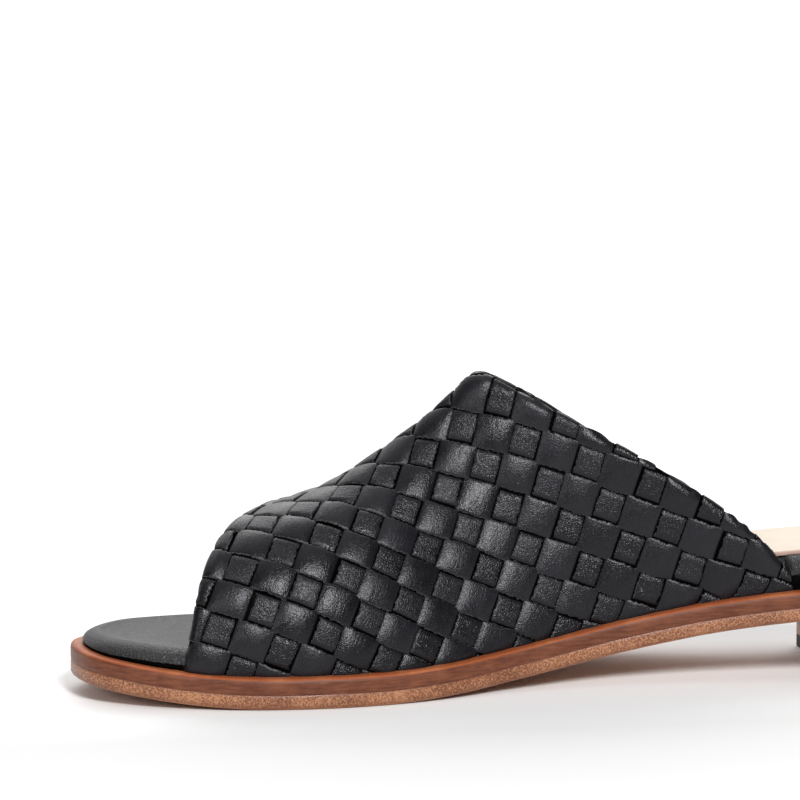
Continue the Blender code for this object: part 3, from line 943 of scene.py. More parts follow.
    def outline(self, rows: int, columns: int, skip: int = 3) -> Array:
        """Finds the pattern's outline.

        Args:
            rows: Rows of the fine grid.
            columns: Its columns.
            skip: Grid points from one outline point to the next.

        Returns:
            Grid places, once round.
        """
        row = np.unique(np.append(np.arange(0, rows, skip), rows - 1))
        column = np.unique(np.append(np.arange(0, columns, skip), columns - 1))
        sides = (
            np.stack([row, np.zeros(len(row))], 1)[:-1],
            np.stack([np.full(len(column), rows - 1), column], 1)[:-1],
            np.stack([row[::-1], np.full(len(row), columns - 1)], 1)[:-1],
            np.stack([np.zeros(len(column)), column[::-1]], 1)[:-1],
        )
        return np.concatenate(sides)

    def read(self, field_grid: Array, near: Array) -> tuple[Array, Array, Array]:
        """Reads a grid of values between its points, linear along both ways of the grid.

        Args:
            field_grid: The values.
            near: Grid places.

        Returns:
            The values there, and their change for one row and for one column.
        """
        rows, columns, _ = self.flat.shape
        near = np.clip(near, 0.0, np.array([rows - 1.0, columns - 1.0]))
        cell = np.minimum(near.astype(int), np.array([rows - 2, columns - 2]))
        a, b = (near - cell)[:, :1], (near - cell)[:, 1:]
        row, column = cell.T
        one, two = field_grid[row, column], field_grid[row + 1, column]
        three, four = field_grid[row, column + 1], field_grid[row + 1, column + 1]
        value = one * (1 - a) * (1 - b) + two * a * (1 - b) + three * (1 - a) * b + four * a * b
        by_row = (two - one) * (1 - b) + (four - three) * b
        by_column = (three - one) * (1 - a) + (four - two) * a
        return value, by_row, by_column

    def locate(self, spots: Array, rounds: int = 9) -> Array:
        """Finds flat spots in the grid, by Newton steps from the nearest coarse point.

        Args:
            spots: Flat spots.
            rounds: Number of steps.

        Returns:
            Their grid places.
        """
        rows, columns, _ = self.flat.shape
        every = self.coarse_flat.reshape(-1, 2)
        width = self.coarse_flat.shape[1]
        near = np.empty((len(spots), 2))
        for first in range(0, len(spots), CHUNK):
            part = slice(first, first + CHUNK)
            best = np.argmin(((spots[part][:, None] - every[None]) ** 2).sum(2), 1)
            near[part] = np.stack([best // width, best % width], 1) * self.steps
        for _ in range(rounds):
            here, by_row, by_column = self.read(self.flat, near)
            miss = spots - here
            area = by_row[:, 0] * by_column[:, 1] - by_row[:, 1] * by_column[:, 0]
            move_row = (miss[:, 0] * by_column[:, 1] - miss[:, 1] * by_column[:, 0]) / area
            move_column = (by_row[:, 0] * miss[:, 1] - by_row[:, 1] * miss[:, 0]) / area
            near = near + np.clip(np.stack([move_row, move_column], 1), -self.steps, self.steps)
            near = np.clip(near, 0.0, np.array([rows - 1.0, columns - 1.0]))
        return near

    def border(self, spots: Array) -> tuple[Array, Array, Array, Array]:
        """Where flat spots lie against the outline.

        Args:
            spots: Flat spots.

        Returns:
            Signed distance (positive outside), grid place of the nearest outline point, the flat
            direction that points outwards there, and how far it belongs to the sole's seat and to
            the toe opening, both 0 to 1.
        """
        flat = self.read(self.flat, self.ring)[0]
        after, ring_after = np.roll(flat, -1, 0), np.roll(self.ring, -1, 0)
        line = after - flat
        size = (line**2).sum(1)
        reach = np.empty(len(spots))
        foot = np.empty((len(spots), 2))
        out = np.empty((len(spots), 2))
        kinds = np.empty((len(spots), 2))
        for first in range(0, len(spots), CHUNK):
            here = slice(first, first + CHUNK)
            part = spots[here]
            to = part[:, None] - flat[None]
            share = np.clip((to * line).sum(2) / size, 0.0, 1.0)
            gap = to - share[:, :, None] * line
            best = np.argmin((gap**2).sum(2), 1)
            pick = np.arange(len(part))
            part_share = share[pick, best][:, None]
            away = gap[pick, best]
            distance = np.linalg.norm(away, axis=1)
            # a spot is inside when a line from it towards +x crosses the outline an odd number of times
            low, high = flat[None, :, 1] > part[:, 1:], after[None, :, 1] > part[:, 1:]
            with np.errstate(divide="ignore", invalid="ignore"):
                cross = line[:, 0] * (part[:, 1:] - flat[:, 1]) / line[:, 1] + flat[:, 0]
            inside = ((low != high) & (part[:, :1] < cross)).sum(1) % 2 == 1
            side = np.where(inside, -1.0, 1.0)
            reach[here] = distance * side
            foot[here] = self.ring[best] * (1 - part_share) + ring_after[best] * part_share
            normal = np.stack([line[best, 1], -line[best, 0]], 1) / np.sqrt(size[best])[:, None]
            normal *= np.where((normal * away).sum(1) * side < 0.0, -1.0, 1.0)[:, None]
            before, behind = self.kinds[best], np.roll(self.kinds, -1, 0)[best]
            kinds[here] = before * (1 - part_share) + behind * part_share
            direct = away / np.maximum(distance, 1e-9)[:, None] * side[:, None]
            out[here] = np.where(distance[:, None] > 0.05 * MM, direct, normal)
        return reach, foot, out, kinds

    def lift(self, spots: Array, heights: Array, fold: Fold) -> Array:
        """Carries flat spots on to the last; what reaches past the outline folds round the edge.

        Inside, a spot goes to surface + height * normal. Near the outline the strips turn about a
        centre at fold.radius below their middle: centre + (radius + height - middle) *
        (normal * cos a + outwards * sin a), and after half a turn they run back inwards. At the seat
        the radius is fold.seat_radius. The height is squeezed to middle + (height - middle) / 2 at
        the free edges and raised there by swell or toe_swell, both by a smooth step of the distance
        from the edge; peak_swell and pouch_swell raise a round patch at the ridge's rear end and at
        the inner end of the toe opening, by a smooth step of the distance from those points.

        Args:
            spots: Flat spots.
            heights: Heights above the outer face.
            fold: Sizes of the fold.

        Returns:
            Points of the frame.
        """
        reach, foot, out, kinds = self.border(spots)
        start = fold.start + kinds @ (np.array([fold.seat_start, fold.toe_start]) - fold.start)
        bend = fold.radius + (fold.seat_radius - fold.radius) * kinds[:, 0]
        free = 1.0 - kinds[:, 0]
        squeeze = 1.0 - 0.5 * free * ease(-2.5 * MM, -0.5 * MM, reach)
        heights = fold.middle + (heights - fold.middle) * squeeze
        swell = fold.swell * free + (fold.toe_swell - fold.swell) * kinds[:, 1]
        heights = heights + swell * ease(-7.0 * MM, -1.0 * MM, reach)
        peak = np.linalg.norm(spots - self.flat[-1, self.flat.shape[1] // 2], axis=1)
        heights = heights + fold.peak_swell * (1.0 - ease(2.0 * MM, fold.patch, peak))
        pouch = np.linalg.norm(spots - self.flat[0, 0], axis=1)
        heights = heights + fold.pouch_swell * (1.0 - ease(3.0 * MM, fold.patch, pouch))
        solid = np.empty((len(spots), 3))
        inside = reach <= -start
        near = self.locate(spots[inside])
        normal = self.read(self.normal, near)[0]
        normal /= np.linalg.norm(normal, axis=1, keepdims=True)
        solid[inside] = self.read(self.solid, near)[0] + normal * heights[inside][:, None]
        edge = ~inside
        base, solid_row, solid_column = self.read(self.solid, foot[edge])
        _, flat_row, flat_column = self.read(self.flat, foot[edge])
        area = flat_row[:, 0] * flat_column[:, 1] - flat_row[:, 1] * flat_column[:, 0]
        way = out[edge]
        by_row = (way[:, 0] * flat_column[:, 1] - way[:, 1] * flat_column[:, 0]) / area
        by_column = (flat_row[:, 0] * way[:, 1] - flat_row[:, 1] * way[:, 0]) / area
        outwards = solid_row * by_row[:, None] + solid_column * by_column[:, None]
        normal = self.read(self.normal, foot[edge])[0]
        normal /= np.linalg.norm(normal, axis=1, keepdims=True)
        outwards -= normal * (outwards * normal).sum(1, keepdims=True)
        outwards /= np.linalg.norm(outwards, axis=1, keepdims=True)
        start, radius = start[edge], bend[edge]
        walk = reach[edge] + start
        angle = np.clip(walk / radius, 0.0, math.pi)[:, None]
        rest = np.maximum(walk - math.pi * radius, 0.0)[:, None]
        centre = base - outwards * start[:, None] + normal * (fold.middle - radius)[:, None]
        spoke = normal * np.cos(angle) + outwards * np.sin(angle)
        arm = np.maximum(radius + heights[edge] - fold.middle, 0.05 * MM)[:, None]
        solid[edge] = centre + arm * spoke - outwards * rest
        return self.last.place(solid)


@dataclass(frozen=True)
class Fold:
    """How the strips turn round the upper's edges, and where the weave swells."""

    radius: float = 0.90 * MM
    start: float = 1.50 * MM
    toe_start: float = 1.05 * MM
    seat_radius: float = 3.00 * MM
    seat_start: float = 0.00 * MM
    middle: float = -0.95 * MM
    swell: float = 0.15 * MM
    toe_swell: float = 0.45 * MM
    peak_swell: float = 1.10 * MM
    pouch_swell: float = 1.40 * MM
    patch: float = 14.0 * MM
    tail: float = 3.2 * MM
    seat_tail: float = 6.0 * MM


class Way(Enum):
    """The two directions of the weave."""

    LONG = "long"
    CROSS = "cross"


@dataclass(frozen=True)
class Weave:
    """Plain weave of two sets of strips at a slant to the ridge."""

    long_pitch: float = 9.2 * MM
    cross_pitch: float = 9.1 * MM
    angle: float = math.radians(37.5)
    start: tuple[float, float] = (0.0749, -0.0226)
    long_half: float = 4.75 * MM
    cross_half: float = 3.50 * MM
    thick: float = 0.72 * MM
    long_crown: float = 0.36 * MM
    cross_crown: float = 0.18 * MM
    bottom: float = -1.36 * MM
    long_rise: float = 0.78 * MM
    cross_rise: float = 0.80 * MM
    hump: float = 2.7
    slack: float = 0.2 * MM
    width_change: float = 0.030
    drift: float = 0.20 * MM
    lift_change: float = 0.07 * MM
    puff_change: float = 0.22
    ragged: float = 0.13 * MM
    # how far the painted crevice shade reaches past a cover's edge
    shade: float = 0.80 * MM
    step: float = 0.60 * MM
    bend: float = 6.0 * MM
    seed: int = 7

    def axes(self) -> tuple[Array, Array]:
        """Works out the lattice in the flat pattern.

        Returns:
            One pitch along the long strips and one along the cross strips.
        """
        along = np.array([math.cos(self.angle), -math.sin(self.angle)]) * self.long_pitch
        cross = np.array([-math.sin(self.angle), -math.cos(self.angle)]) * self.cross_pitch
        return along, cross

    def section(self) -> tuple[Array, Array]:
        """Works out the closed cross-section of a strip: a rounded top and a flat underside.

        Returns:
            Places across from -1 to 1, and heights as shares of the thickness.
        """
        half = np.array([0.0, 0.32, 0.62, 0.85, 0.95, 0.985])
        across = np.concatenate([[-1.0], -half[:0:-1], half, [1.0, 0.97, 0.0, -0.97]])
        level = np.full(len(across), 0.5)
        level[[1, 11]], level[[2, 10]] = 0.30, 0.46
        level[[0, 12]], level[13:] = -0.12, -0.5
        return across, level

    def over(self, pitch: float, cover: float, away: Array) -> Array:
        """How far a strip is out of its cover: 1 - (1 - q)^hump, with q from the cover's edge on.

        Args:
            pitch: Distance from the crossing underneath to the middle of the strip's own block.
            cover: Half the width of the strip that covers it.
            away: Distance from the middle of the crossing underneath.

        Returns:
            0 under the cover to 1 in the middle of the block.
        """
        free = cover - self.slack
        return 1.0 - (1.0 - np.clip((away - free) / (pitch - free), 0.0, 1.0)) ** self.hump

    def middle_line(self, way: Way, away: Array) -> Array:
        """Height of a strip's middle: a long strip is a hump, a cross strip rises to a flat top.

        Args:
            way: The set of strips.
            away: Distance from the middle of the crossing where it lies underneath.

        Returns:
            Heights above the wall's outer face, all below 0.
        """
        if way is Way.LONG:
            return self.bottom + self.long_rise * self.over(self.long_pitch, self.cross_half, away)
        free = self.long_half - 0.7 * MM
        return self.bottom + self.cross_rise * ease(free, free + 2.3 * MM, away)

    def build(self, pattern: Pattern, fold: Fold, way: Way) -> tuple[Array, list, dict[str, Array], Array]:
        """Works out all strips of one set.

        A point of a strip is start + number * cross + place * along + across * half width, lifted
        on to the last at middle line + section level * thickness + crown * (1 - across^2). Width,
        drift, lift and puff of each strip vary by a cubic through one random knot a pitch.

        Args:
            pattern: The flat pattern.
            fold: How strips turn round the edges.
            way: The set of strips.

        Returns:
            Points, faces, marks per point and the strip coordinates per point.
        """
        along, across = self.axes()
        half, cover, crown, parity = self.long_half, self.cross_half, self.long_crown, 1.0
        if way is Way.CROSS:
            along, across = across, along
            half, cover, crown, parity = self.cross_half, self.long_half, self.cross_crown, 0.0
        pitch = np.linalg.norm(along)
        side = across / np.linalg.norm(across)
        wall = (pattern.flat.reshape(-1, 2) - self.start).T
        corners = np.linalg.solve(np.stack([along, across], 1), wall)
        low, high = np.floor(corners.min(1)) - 1, np.ceil(corners.max(1)) + 1
        places = np.arange(low[0], high[0], self.step / pitch)
        numbers = np.arange(low[1], high[1] + 1)
        knots = np.arange(low[0] - 1, high[0] + 2)
        rng = np.random.default_rng(self.seed + int(way is Way.CROSS))
        across_at, level = self.section()
        size = len(across_at)
        spots, heights, faces, edges, tones, painted_shades, strip_uv = [], [], [], [], [], [], []
        count = 0
        for number in numbers:
            changes = (self.width_change, self.drift, self.lift_change, self.puff_change)
            knot_rows = [rng.normal(0.0, change, len(knots)) for change in changes]
            tone_knots = rng.uniform(0.0, 1.0, len(knots))
            shift = rng.uniform(0.0, 300.0, 2)
            reach, _, _, kinds = pattern.border(self.start + number * across + places[:, None] * along)
            keep = reach < fold.tail + (fold.seat_tail - fold.tail) * kinds[:, 0]
            cuts = np.flatnonzero(np.diff(np.concatenate([[0], keep.astype(int), [0]])))
            for first, last in zip(cuts[::2], cuts[1::2]):
                if last - first < 6:
                    continue
                place = self.spread(places[first] * pitch, places[last - 1] * pitch) / pitch
                middle = self.start + number * across + place[:, None] * along
                rough = rng.normal(0.0, self.ragged, (len(place), 2))
                phase = np.mod(place + number + parity + 1.0, 2.0)
                away = np.minimum(phase, 2.0 - phase) * pitch
                over = self.over(pitch, cover, away)
                width, drift, lift, puff = (through(knots, row, place) for row in knot_rows)
                offset = (half * (1.0 + width))[:, None] * across_at + drift[:, None]
                offset[:, [0, 1, 2, 15]] += rough[:, :1]
                offset[:, 10:14] += rough[:, 1:]
                spot = middle[:, None] + offset[:, :, None] * side
                height = self.middle_line(way, away)[:, None] + level * self.thick
                height = height + (lift * over)[:, None]
                bulge = crown * over * (1.0 + puff)
                height = height + bulge[:, None] * (1.0 - across_at**2) * (level > 0.0)
                spots.append(spot.reshape(-1, 2))
                heights.append(height.ravel())
                rows = len(place)
                faces += grid_faces(rows, size, True, count).tolist()
                faces.append(list(range(count, count + size)))
                faces.append(list(range(count + (rows - 1) * size, count + rows * size)))
                edges.append(np.tile(np.abs(across_at) * (level > -0.3), rows))
                # painted shade where the strip dives under its cover
                deep = 1.0 - ease(cover - 0.05 * MM, cover + self.shade, away)
                painted_shades.append(np.repeat(deep, size))
                block = np.floor((place + number + parity) / 2.0 + 0.5).astype(int) % len(knots)
                tones.append(np.repeat(tone_knots[block], size))
                walk = np.repeat(place * pitch / MM, size) + shift[0]
                strip_uv.append(np.stack([walk, offset.ravel() / MM + shift[1]], 1))
                count += rows * size
        flat = np.concatenate(spots)
        points = pattern.lift(flat, np.concatenate(heights), fold)
        marks = {"edge": np.concatenate(edges), "tone": np.concatenate(tones)}
        marks["pebbled"] = np.full(count, float(way is Way.CROSS))
        marks["deep"] = np.concatenate(painted_shades)
        return points, faces, marks, np.concatenate(strip_uv)

    def spread(self, first: float, last: float) -> Array:
        """Sets places along a strip, close together near its ends, where it bends round the edges.

        Args:
            first: Where the strip starts.
            last: Where it ends.

        Returns:
            Rising lengths whose step eases from step / 2 at both ends to step in the middle.
        """
        fine = np.arange(first, last, self.step / 2.0)
        weight = np.minimum(fine - first, last - fine)
        share = 1.0 - 0.5 * ease(self.bend, self.bend + 3.0 * MM, weight)
        walk = np.cumsum(share)
        count = max(6, int(walk[-1] - walk[0]))
        return np.interp(np.linspace(walk[0], walk[-1], count), walk, fine)


@dataclass
class Upper:
    """The woven wall with its lining."""

    last: Last
    weave: Weave = field(default_factory=Weave)
    fold: Fold = field(default_factory=Fold)
    lining_edge: float = 1.3 * MM
    lining_thick: float = 0.28 * MM
    lining_size: tuple[int, int] = (90, 140)

    def build(self) -> list[Item]:
        """Makes both sets of strips and the lining.

        Returns:
            The three pieces.
        """
        pattern = Pattern(self.last)
        leather = StripLeather().material()
        pieces = []
        for way in Way:
            points, faces, marks, strip_uv = self.weave.build(pattern, self.fold, way)
            piece = self.strip_piece(f"strips_{way.value}", points, faces, marks, strip_uv, leather)
            pieces.append(seat(piece, "upper", "upper"))
        pieces.append(seat(self.lining(pattern), "upper", "upper"))
        return pieces

    def strip_piece(
        self,
        name: str,
        points: Array,
        faces: list,
        marks: dict[str, Array],
        strip_uv: Array,
        leather: Material,
    ) -> Item:
        """Makes one set of strips into a piece and stores its strip coordinates as a UV map.

        Args:
            name: The piece's name.
            points: Its vertices.
            faces: Its faces as lists of vertex numbers.
            marks: Numbers per vertex.
            strip_uv: Places along and across the strip per vertex, in millimetres.
            leather: Its finish.

        Returns:
            The piece.
        """
        marks = {**marks, "strip_u": strip_uv[:, 0], "strip_v": strip_uv[:, 1]}
        piece = make_piece(name, points, faces, leather, marks, 60.0)
        mesh = piece.data
        corner = np.empty(len(mesh.loops), np.int32)
        mesh.loops.foreach_get("vertex_index", corner)
        both = np.empty((len(mesh.vertices), 2), np.float32)
        for axis, key in enumerate(("strip_u", "strip_v")):
            column = np.empty(len(mesh.vertices), np.float32)
            mesh.attributes[key].data.foreach_get("value", column)
            both[:, axis] = column
            mesh.attributes.remove(mesh.attributes[key])
        layer = mesh.uv_layers.new(name="strip")
        layer.data.foreach_set("uv", both[corner].ravel())
        return piece

    def lining(self, pattern: Pattern) -> Item:
        """Makes a thin closed sheet: the wall's inner face and one a little outside it.

        Args:
            pattern: The flat pattern.

        Returns:
            The lining.
        """
        rows, columns, _ = pattern.flat.shape
        ridge = self.last.instep * 0.9  # about the length of the ridge
        share = self.lining_edge / ridge
        row = np.linspace(share * (rows - 1), (1.0 - share) * (rows - 1), self.lining_size[0])
        column = np.linspace(0.0, columns - 1.0, self.lining_size[1])
        near = np.stack(np.meshgrid(row, column, indexing="ij"), 2).reshape(-1, 2)
        solid = pattern.read(pattern.solid, near)[0]
        normal = pattern.read(pattern.normal, near)[0]
        normal /= np.linalg.norm(normal, axis=1, keepdims=True)
        inner = self.last.place(solid - normal * self.last.wall)
        outer = self.last.place(solid - normal * (self.last.wall - self.lining_thick))
        count = len(inner)
        faces = grid_faces(*self.lining_size, False).tolist()
        faces += grid_faces(*self.lining_size, False, count)[:, ::-1].tolist()
        number = np.arange(count).reshape(self.lining_size)
        loop = [number[:, 0], number[-1, 1:], number[-2::-1, -1], number[0, -2:0:-1]]
        loop = np.concatenate(loop)
        after = np.roll(loop, -1)
        faces += np.stack([loop, after, after + count, loop + count], 1).tolist()
        return make_piece("lining", np.concatenate([inner, outer]), faces, LiningLeather().material())


@dataclass
class SolePart:
    """A part of the sole: rings of the plan stacked by a side profile, with a cap below and above."""

    last: Last
    stations: int = 220
    sink: float = 0.1 * MM

    def shares(self, front: float = 0.0) -> Array:
        """Sets stations along the sole, closer together at rounded ends.

        Args:
            front: Where the part starts, 0 at the toe.

        Returns:
            Shares of the sole's length.
        """
        turn = np.linspace(0.0 if front == 0.0 else 0.5 * math.pi, math.pi, self.stations)
        base = 1.0 - np.cos(turn)
        return front + (1.0 - front) * (base - base[0]) / (base[-1] - base[0])

    def layers(self, profile: tuple, base: float) -> list[Ring]:
        """Makes the rings of a layer that follows the sole's underside.

        Args:
            profile: Inset and height above the base of each ring, in millimetres, lowest first.
            base: Height of the layer's lower face above the sole's underside.

        Returns:
            The rings.
        """
        rings = []
        for inset, lift in profile:
            x, inner, outer = self.last.rail(self.shares(), inset * MM)
            rings.append((x, inner, outer, self.last.underside(x) + base + lift * MM))
        return rings

    def stack(
        self,
        name: str,
        rings: list[Ring],
        material: Material,
        levels: dict[str, Sequence[float]],
        across: int = 2,
        crown: float = 0.0,
        crisp: float = 40.0,
    ) -> Item:
        """Skins a stack of rings and caps it.

        The lower cap runs straight across. The upper cap is a grid of points across, raised by
        crown * (1 - (2p - 1)^2)^0.75 * min(1, width / 30 mm) at the share p from inner to outer side.

        Args:
            name: The piece's name.
            rings: The rings, lowest first.
            material: The finish.
            levels: Marks by name, one number for each ring.
            across: Points across the upper cap.
            crown: How far the upper cap rises in its middle.
            crisp: Edges that turn by more degrees stay sharp.

        Returns:
            The piece.
        """
        count = len(rings[0][0])
        loops = []
        for x, inner, outer, height in rings:
            sides = [np.stack([x, y, height], 1) for y in (inner, outer)]
            loops.append(np.concatenate([sides[0], sides[1][::-1]]))
        side = np.concatenate(loops)
        faces = grid_faces(len(rings), 2 * count, True).tolist()
        here = np.arange(count - 1)
        far = 2 * count - 1 - here
        faces += np.stack([here, here + 1, far - 1, far], 1).tolist()
        x, inner, outer, height = rings[-1]
        part = np.linspace(0.0, 1.0, across)[None, :]
        fade = np.minimum(1.0, (outer - inner) / (30.0 * MM))[:, None]
        bulge = crown * (1.0 - (2.0 * part - 1.0) ** 2) ** 0.75 * fade
        y = inner[:, None] * (1 - part) + outer[:, None] * part
        cap = np.stack([x[:, None] + 0.0 * part, y, height[:, None] + bulge], 2)
        faces += grid_faces(count, across, False, len(side)).tolist()
        marks = {}
        for key, values in levels.items():
            top = np.full(count * across, values[-1])
            marks[key] = np.concatenate([np.repeat(values, 2 * count), top])
        points = self.last.place(np.concatenate([side, cap.reshape(-1, 3)]))
        return make_piece(name, points, faces, material, marks, crisp)


@dataclass
class Outsole(SolePart):
    """Leather outsole with a softly rounded lower edge."""

    # inset, height, how far underneath, how much darker (along the rounded low edge and along the top below
    # the welt)
    profile: tuple = (
        (1.50, 0.00, 1.0, 0.00),
        (0.75, 0.04, 1.0, 0.30),
        (0.25, 0.22, 0.7, 0.90),
        (0.04, 0.65, 0.0, 0.80),
        (0.00, 1.40, 0.0, 0.15),
        (0.00, 2.60, 0.0, 0.00),
        (0.05, 3.60, 0.0, 0.10),
        (0.18, 3.90, 0.0, 0.90),
    )

    def build(self) -> Item:
        """Makes the outsole.

        Returns:
            The outsole.
        """
        inset, lift, under, low = zip(*self.profile)
        rings = self.layers(tuple(zip(inset, lift)), 0.0)
        levels = {"under": under, "low": low}
        piece = self.stack("outsole_leather", rings, OutsoleEdge().material(), levels)
        return seat(piece, "outsole", "outsole")


@dataclass
class Welt(SolePart):
    """Welt with a rounded bevel and a flat ledge."""

    # inset, height, how far on the ledge
    profile: tuple = (
        (0.18, 0.02, 0.00),
        (0.02, 0.35, 0.00),
        (0.00, 1.20, 0.00),
        (0.00, 3.10, 0.00),
        (0.10, 3.75, 0.25),
        (0.42, 4.28, 0.75),
        (0.95, 4.56, 1.00),
        (1.50, 4.60, 1.00),
    )

    def build(self) -> Item:
        """Makes the welt.

        Returns:
            The welt.
        """
        inset, lift, ledge = zip(*self.profile)
        rings = self.layers(tuple(zip(inset, lift)), self.last.outsole_thick)
        piece = self.stack("welt_leather", rings, WeltEdge().material(), {"ledge": ledge})
        return seat(piece, "welt", "welt")


@dataclass
class Footbed(SolePart):
    """Padded footbed, narrower where the upper stands beside it."""

    roll: float = 3.4 * MM
    roll_share: float = 0.72
    roll_steps: int = 9
    reach: float = 5.2 * MM
    crown: float = -1.1 * MM
    tuck: float = 1.1 * MM
    fold: float = 0.5 * MM
    crease: float = 2.9 * MM
    stations: int = 480
    # inset in millimetres, share of the side's height, mark for the crumples and the painted shade along the
    # lowest edge
    side: tuple = (
        (0.55, 0.00, 1.0),
        (0.18, 0.12, 1.0),
        (0.00, 0.45, 1.0),
        (0.00, 0.70, 0.9),
        (0.00, 0.85, 0.5),
    )

    def rail_between(self, shares: Array, inset: float) -> tuple[Array, Array, Array]:
        """Plan at an inset, moved in by the wall of the upper over its reach on each side.

        Args:
            shares: Places along the sole.
            inset: How far the plan moves inwards everywhere.

        Returns:
            x, the inner side and the outer side.
        """
        last = self.last
        x, inner, outer = last.rail(shares, inset)
        deep = last.wall + 3.0 * last.gap
        _, inner_seat, outer_seat = last.rail(shares, inset + deep)
        first, rear = last.upper_rows[0], last.upper_rows[-1]
        step = 0.5 * MM
        spans = []
        for front, back in ((first[0], rear[0]), (first[1], rear[1])):
            low, high = front * last.length + self.tuck, back * last.length - self.tuck
            spans.append(ease(low - step, low + step, x) - ease(high - step, high + step, x))
        return x, inner + (inner_seat - inner) * spans[0], outer + (outer_seat - outer) * spans[1]

    def pinch(self, x: Array, lift: float) -> Array:
        """Slanting creases where the padding is squeezed against the upper's front edges.

        The depth is fold * window * (1 + sin(2 pi (x + 3 mm * lift) / crease)) / 2, and the window
        rises over the last 12 mm before the inner front edge and falls just behind it.

        Args:
            x: Places along the sole.
            lift: Share of the side's height.

        Returns:
            How far the side moves inwards.
        """
        front = self.last.upper_rows[0][0] * self.last.length
        window = ease(front - 12.0 * MM, front - 1.0 * MM, x) * (1.0 - ease(front, front + 2.0 * MM, x))
        wave = np.sin(2.0 * math.pi * (x + 3.0 * MM * lift) / self.crease)
        return self.fold * window * 0.5 * (1.0 + wave)

    def build(self) -> Item:
        """Makes the footbed: a nearly upright side, then a quarter roll into the crowned top.

        Returns:
            The footbed.
        """
        last = self.last
        shares = self.shares()
        rings = []
        base_x = last.rail(shares, last.ledge)[0]
        thick = last.bed_top(base_x) - last.welt_top(base_x)
        roll = np.minimum(self.roll, self.roll_share * thick)
        low = []
        for inset, lift, mark in self.side:
            x, inner, outer = self.rail_between(shares, last.ledge + inset * MM)
            pinch = self.pinch(x, lift)
            height = last.welt_top(x) + lift * (thick - roll) + self.sink
            rings.append((x, inner + pinch, outer - pinch, height))
            low.append(mark)
        for turn in np.radians(np.linspace(0.0, 90.0, self.roll_steps)):
            flat, upright = 1.0 - math.sin(turn), 1.0 - math.cos(turn)
            x, inner, outer = self.rail_between(shares, last.ledge + self.reach * upright)
            pinch = self.pinch(x, 1.0) * flat
            rings.append((x, inner + pinch, outer - pinch, last.bed_top(x) - roll * flat))
            low.append(max(0.0, 0.3 - 0.3 * math.sin(turn)))
        levels = {"low": low}
        leather = BedLeather().material()
        piece = self.stack("footbed_leather", rings, leather, levels, 24, self.crown, 60.0)
        return seat(piece, "footbed", "footbed")


@dataclass
class HeelSock(SolePart):
    """Thin sock on the rear of the footbed."""

    front: float = 0.640
    rim: float = 5.2 * MM
    thick: float = 1.25 * MM
    dish: float = -0.4 * MM
    # inset in millimetres, share of the thickness, mark
    profile: tuple = ((0.00, 0.00, 1.0), (0.00, 0.55, 1.0), (0.12, 0.85, 0.6), (0.45, 1.00, 0.0))

    def build(self) -> Item:
        """Makes the sock with a rounded cut edge.

        Returns:
            The sock.
        """
        last = self.last
        shares = self.shares(self.front)
        rings = []
        for inset, lift, _ in self.profile:
            x, inner, outer = last.rail(shares, last.ledge + self.rim + inset * MM)
            rings.append((x, inner, outer, last.bed_top(x) - self.sink + lift * self.thick))
        levels = {"rim": [mark for _, _, mark in self.profile]}
        leather = SockLeather().material()
        piece = self.stack("sock_leather", rings, leather, levels, 24, self.dish, 60.0)
        return seat(piece, "heel_sock", "heel_sock")


@dataclass
class Heel(SolePart):
    """Stacked heel block with its rubber top piece."""

    breast: float = 0.847
    inset: float = 0.7 * MM
    taper: float = 1.2 * MM
    rubber: float = 3.5 * MM
    hollow: float = 0.35 * MM
    rings: int = 9
    # inset and height of the top piece's rings in millimetres
    profile: tuple = ((0.6, 0.0), (0.2, 0.15), (0.0, 0.6), (0.0, 3.1), (0.1, 3.5))

    def build(self) -> list[Item]:
        """Makes the block, slightly hollow between top and bottom, and the top piece.

        Returns:
            Both pieces.
        """
        last = self.last
        shares = self.shares(self.breast)
        low = self.rubber + self.sink
        block = []
        for part in np.linspace(0.0, 1.0, self.rings):
            hollow = self.hollow * math.sin(math.pi * part)
            x, inner, outer = last.rail(shares, self.inset + self.taper * (1.0 - part) + hollow)
            top = last.underside(x) + self.sink
            block.append((x, inner, outer, low + (top - low) * part))
        stacked = self.stack("heel_stack", block, StackedLeather().material(), {})
        piece = []
        for inset, height in self.profile:
            x, inner, outer = last.rail(shares, self.inset + self.taper + inset * MM)
            piece.append((x, inner, outer, np.full(len(x), height * MM)))
        tread = self.stack("heel_tread", piece, HeelRubber().material(), {})
        return [seat(stacked, "heel_block", "heel_block"), seat(tread, "top_piece", "top_piece")]


def direction(azimuth: float, elevation: float) -> Vector:
    """Direction to where the camera or a light stands: (sin a cos e, -cos a cos e, sin e)."""
    a, e = math.radians(azimuth), math.radians(elevation)
    return Vector((math.sin(a) * math.cos(e), -math.cos(a) * math.cos(e), math.sin(e)))


@dataclass(frozen=True)
class Sun:
    """A wide distant light, like a large soft box seen under the same angle from everywhere.

    The angles are degrees in the camera's convention, spread is the angular diameter and power is
    watts a square metre.
    """

    name: str
    azimuth: float
    elevation: float
    spread: float
    power: float


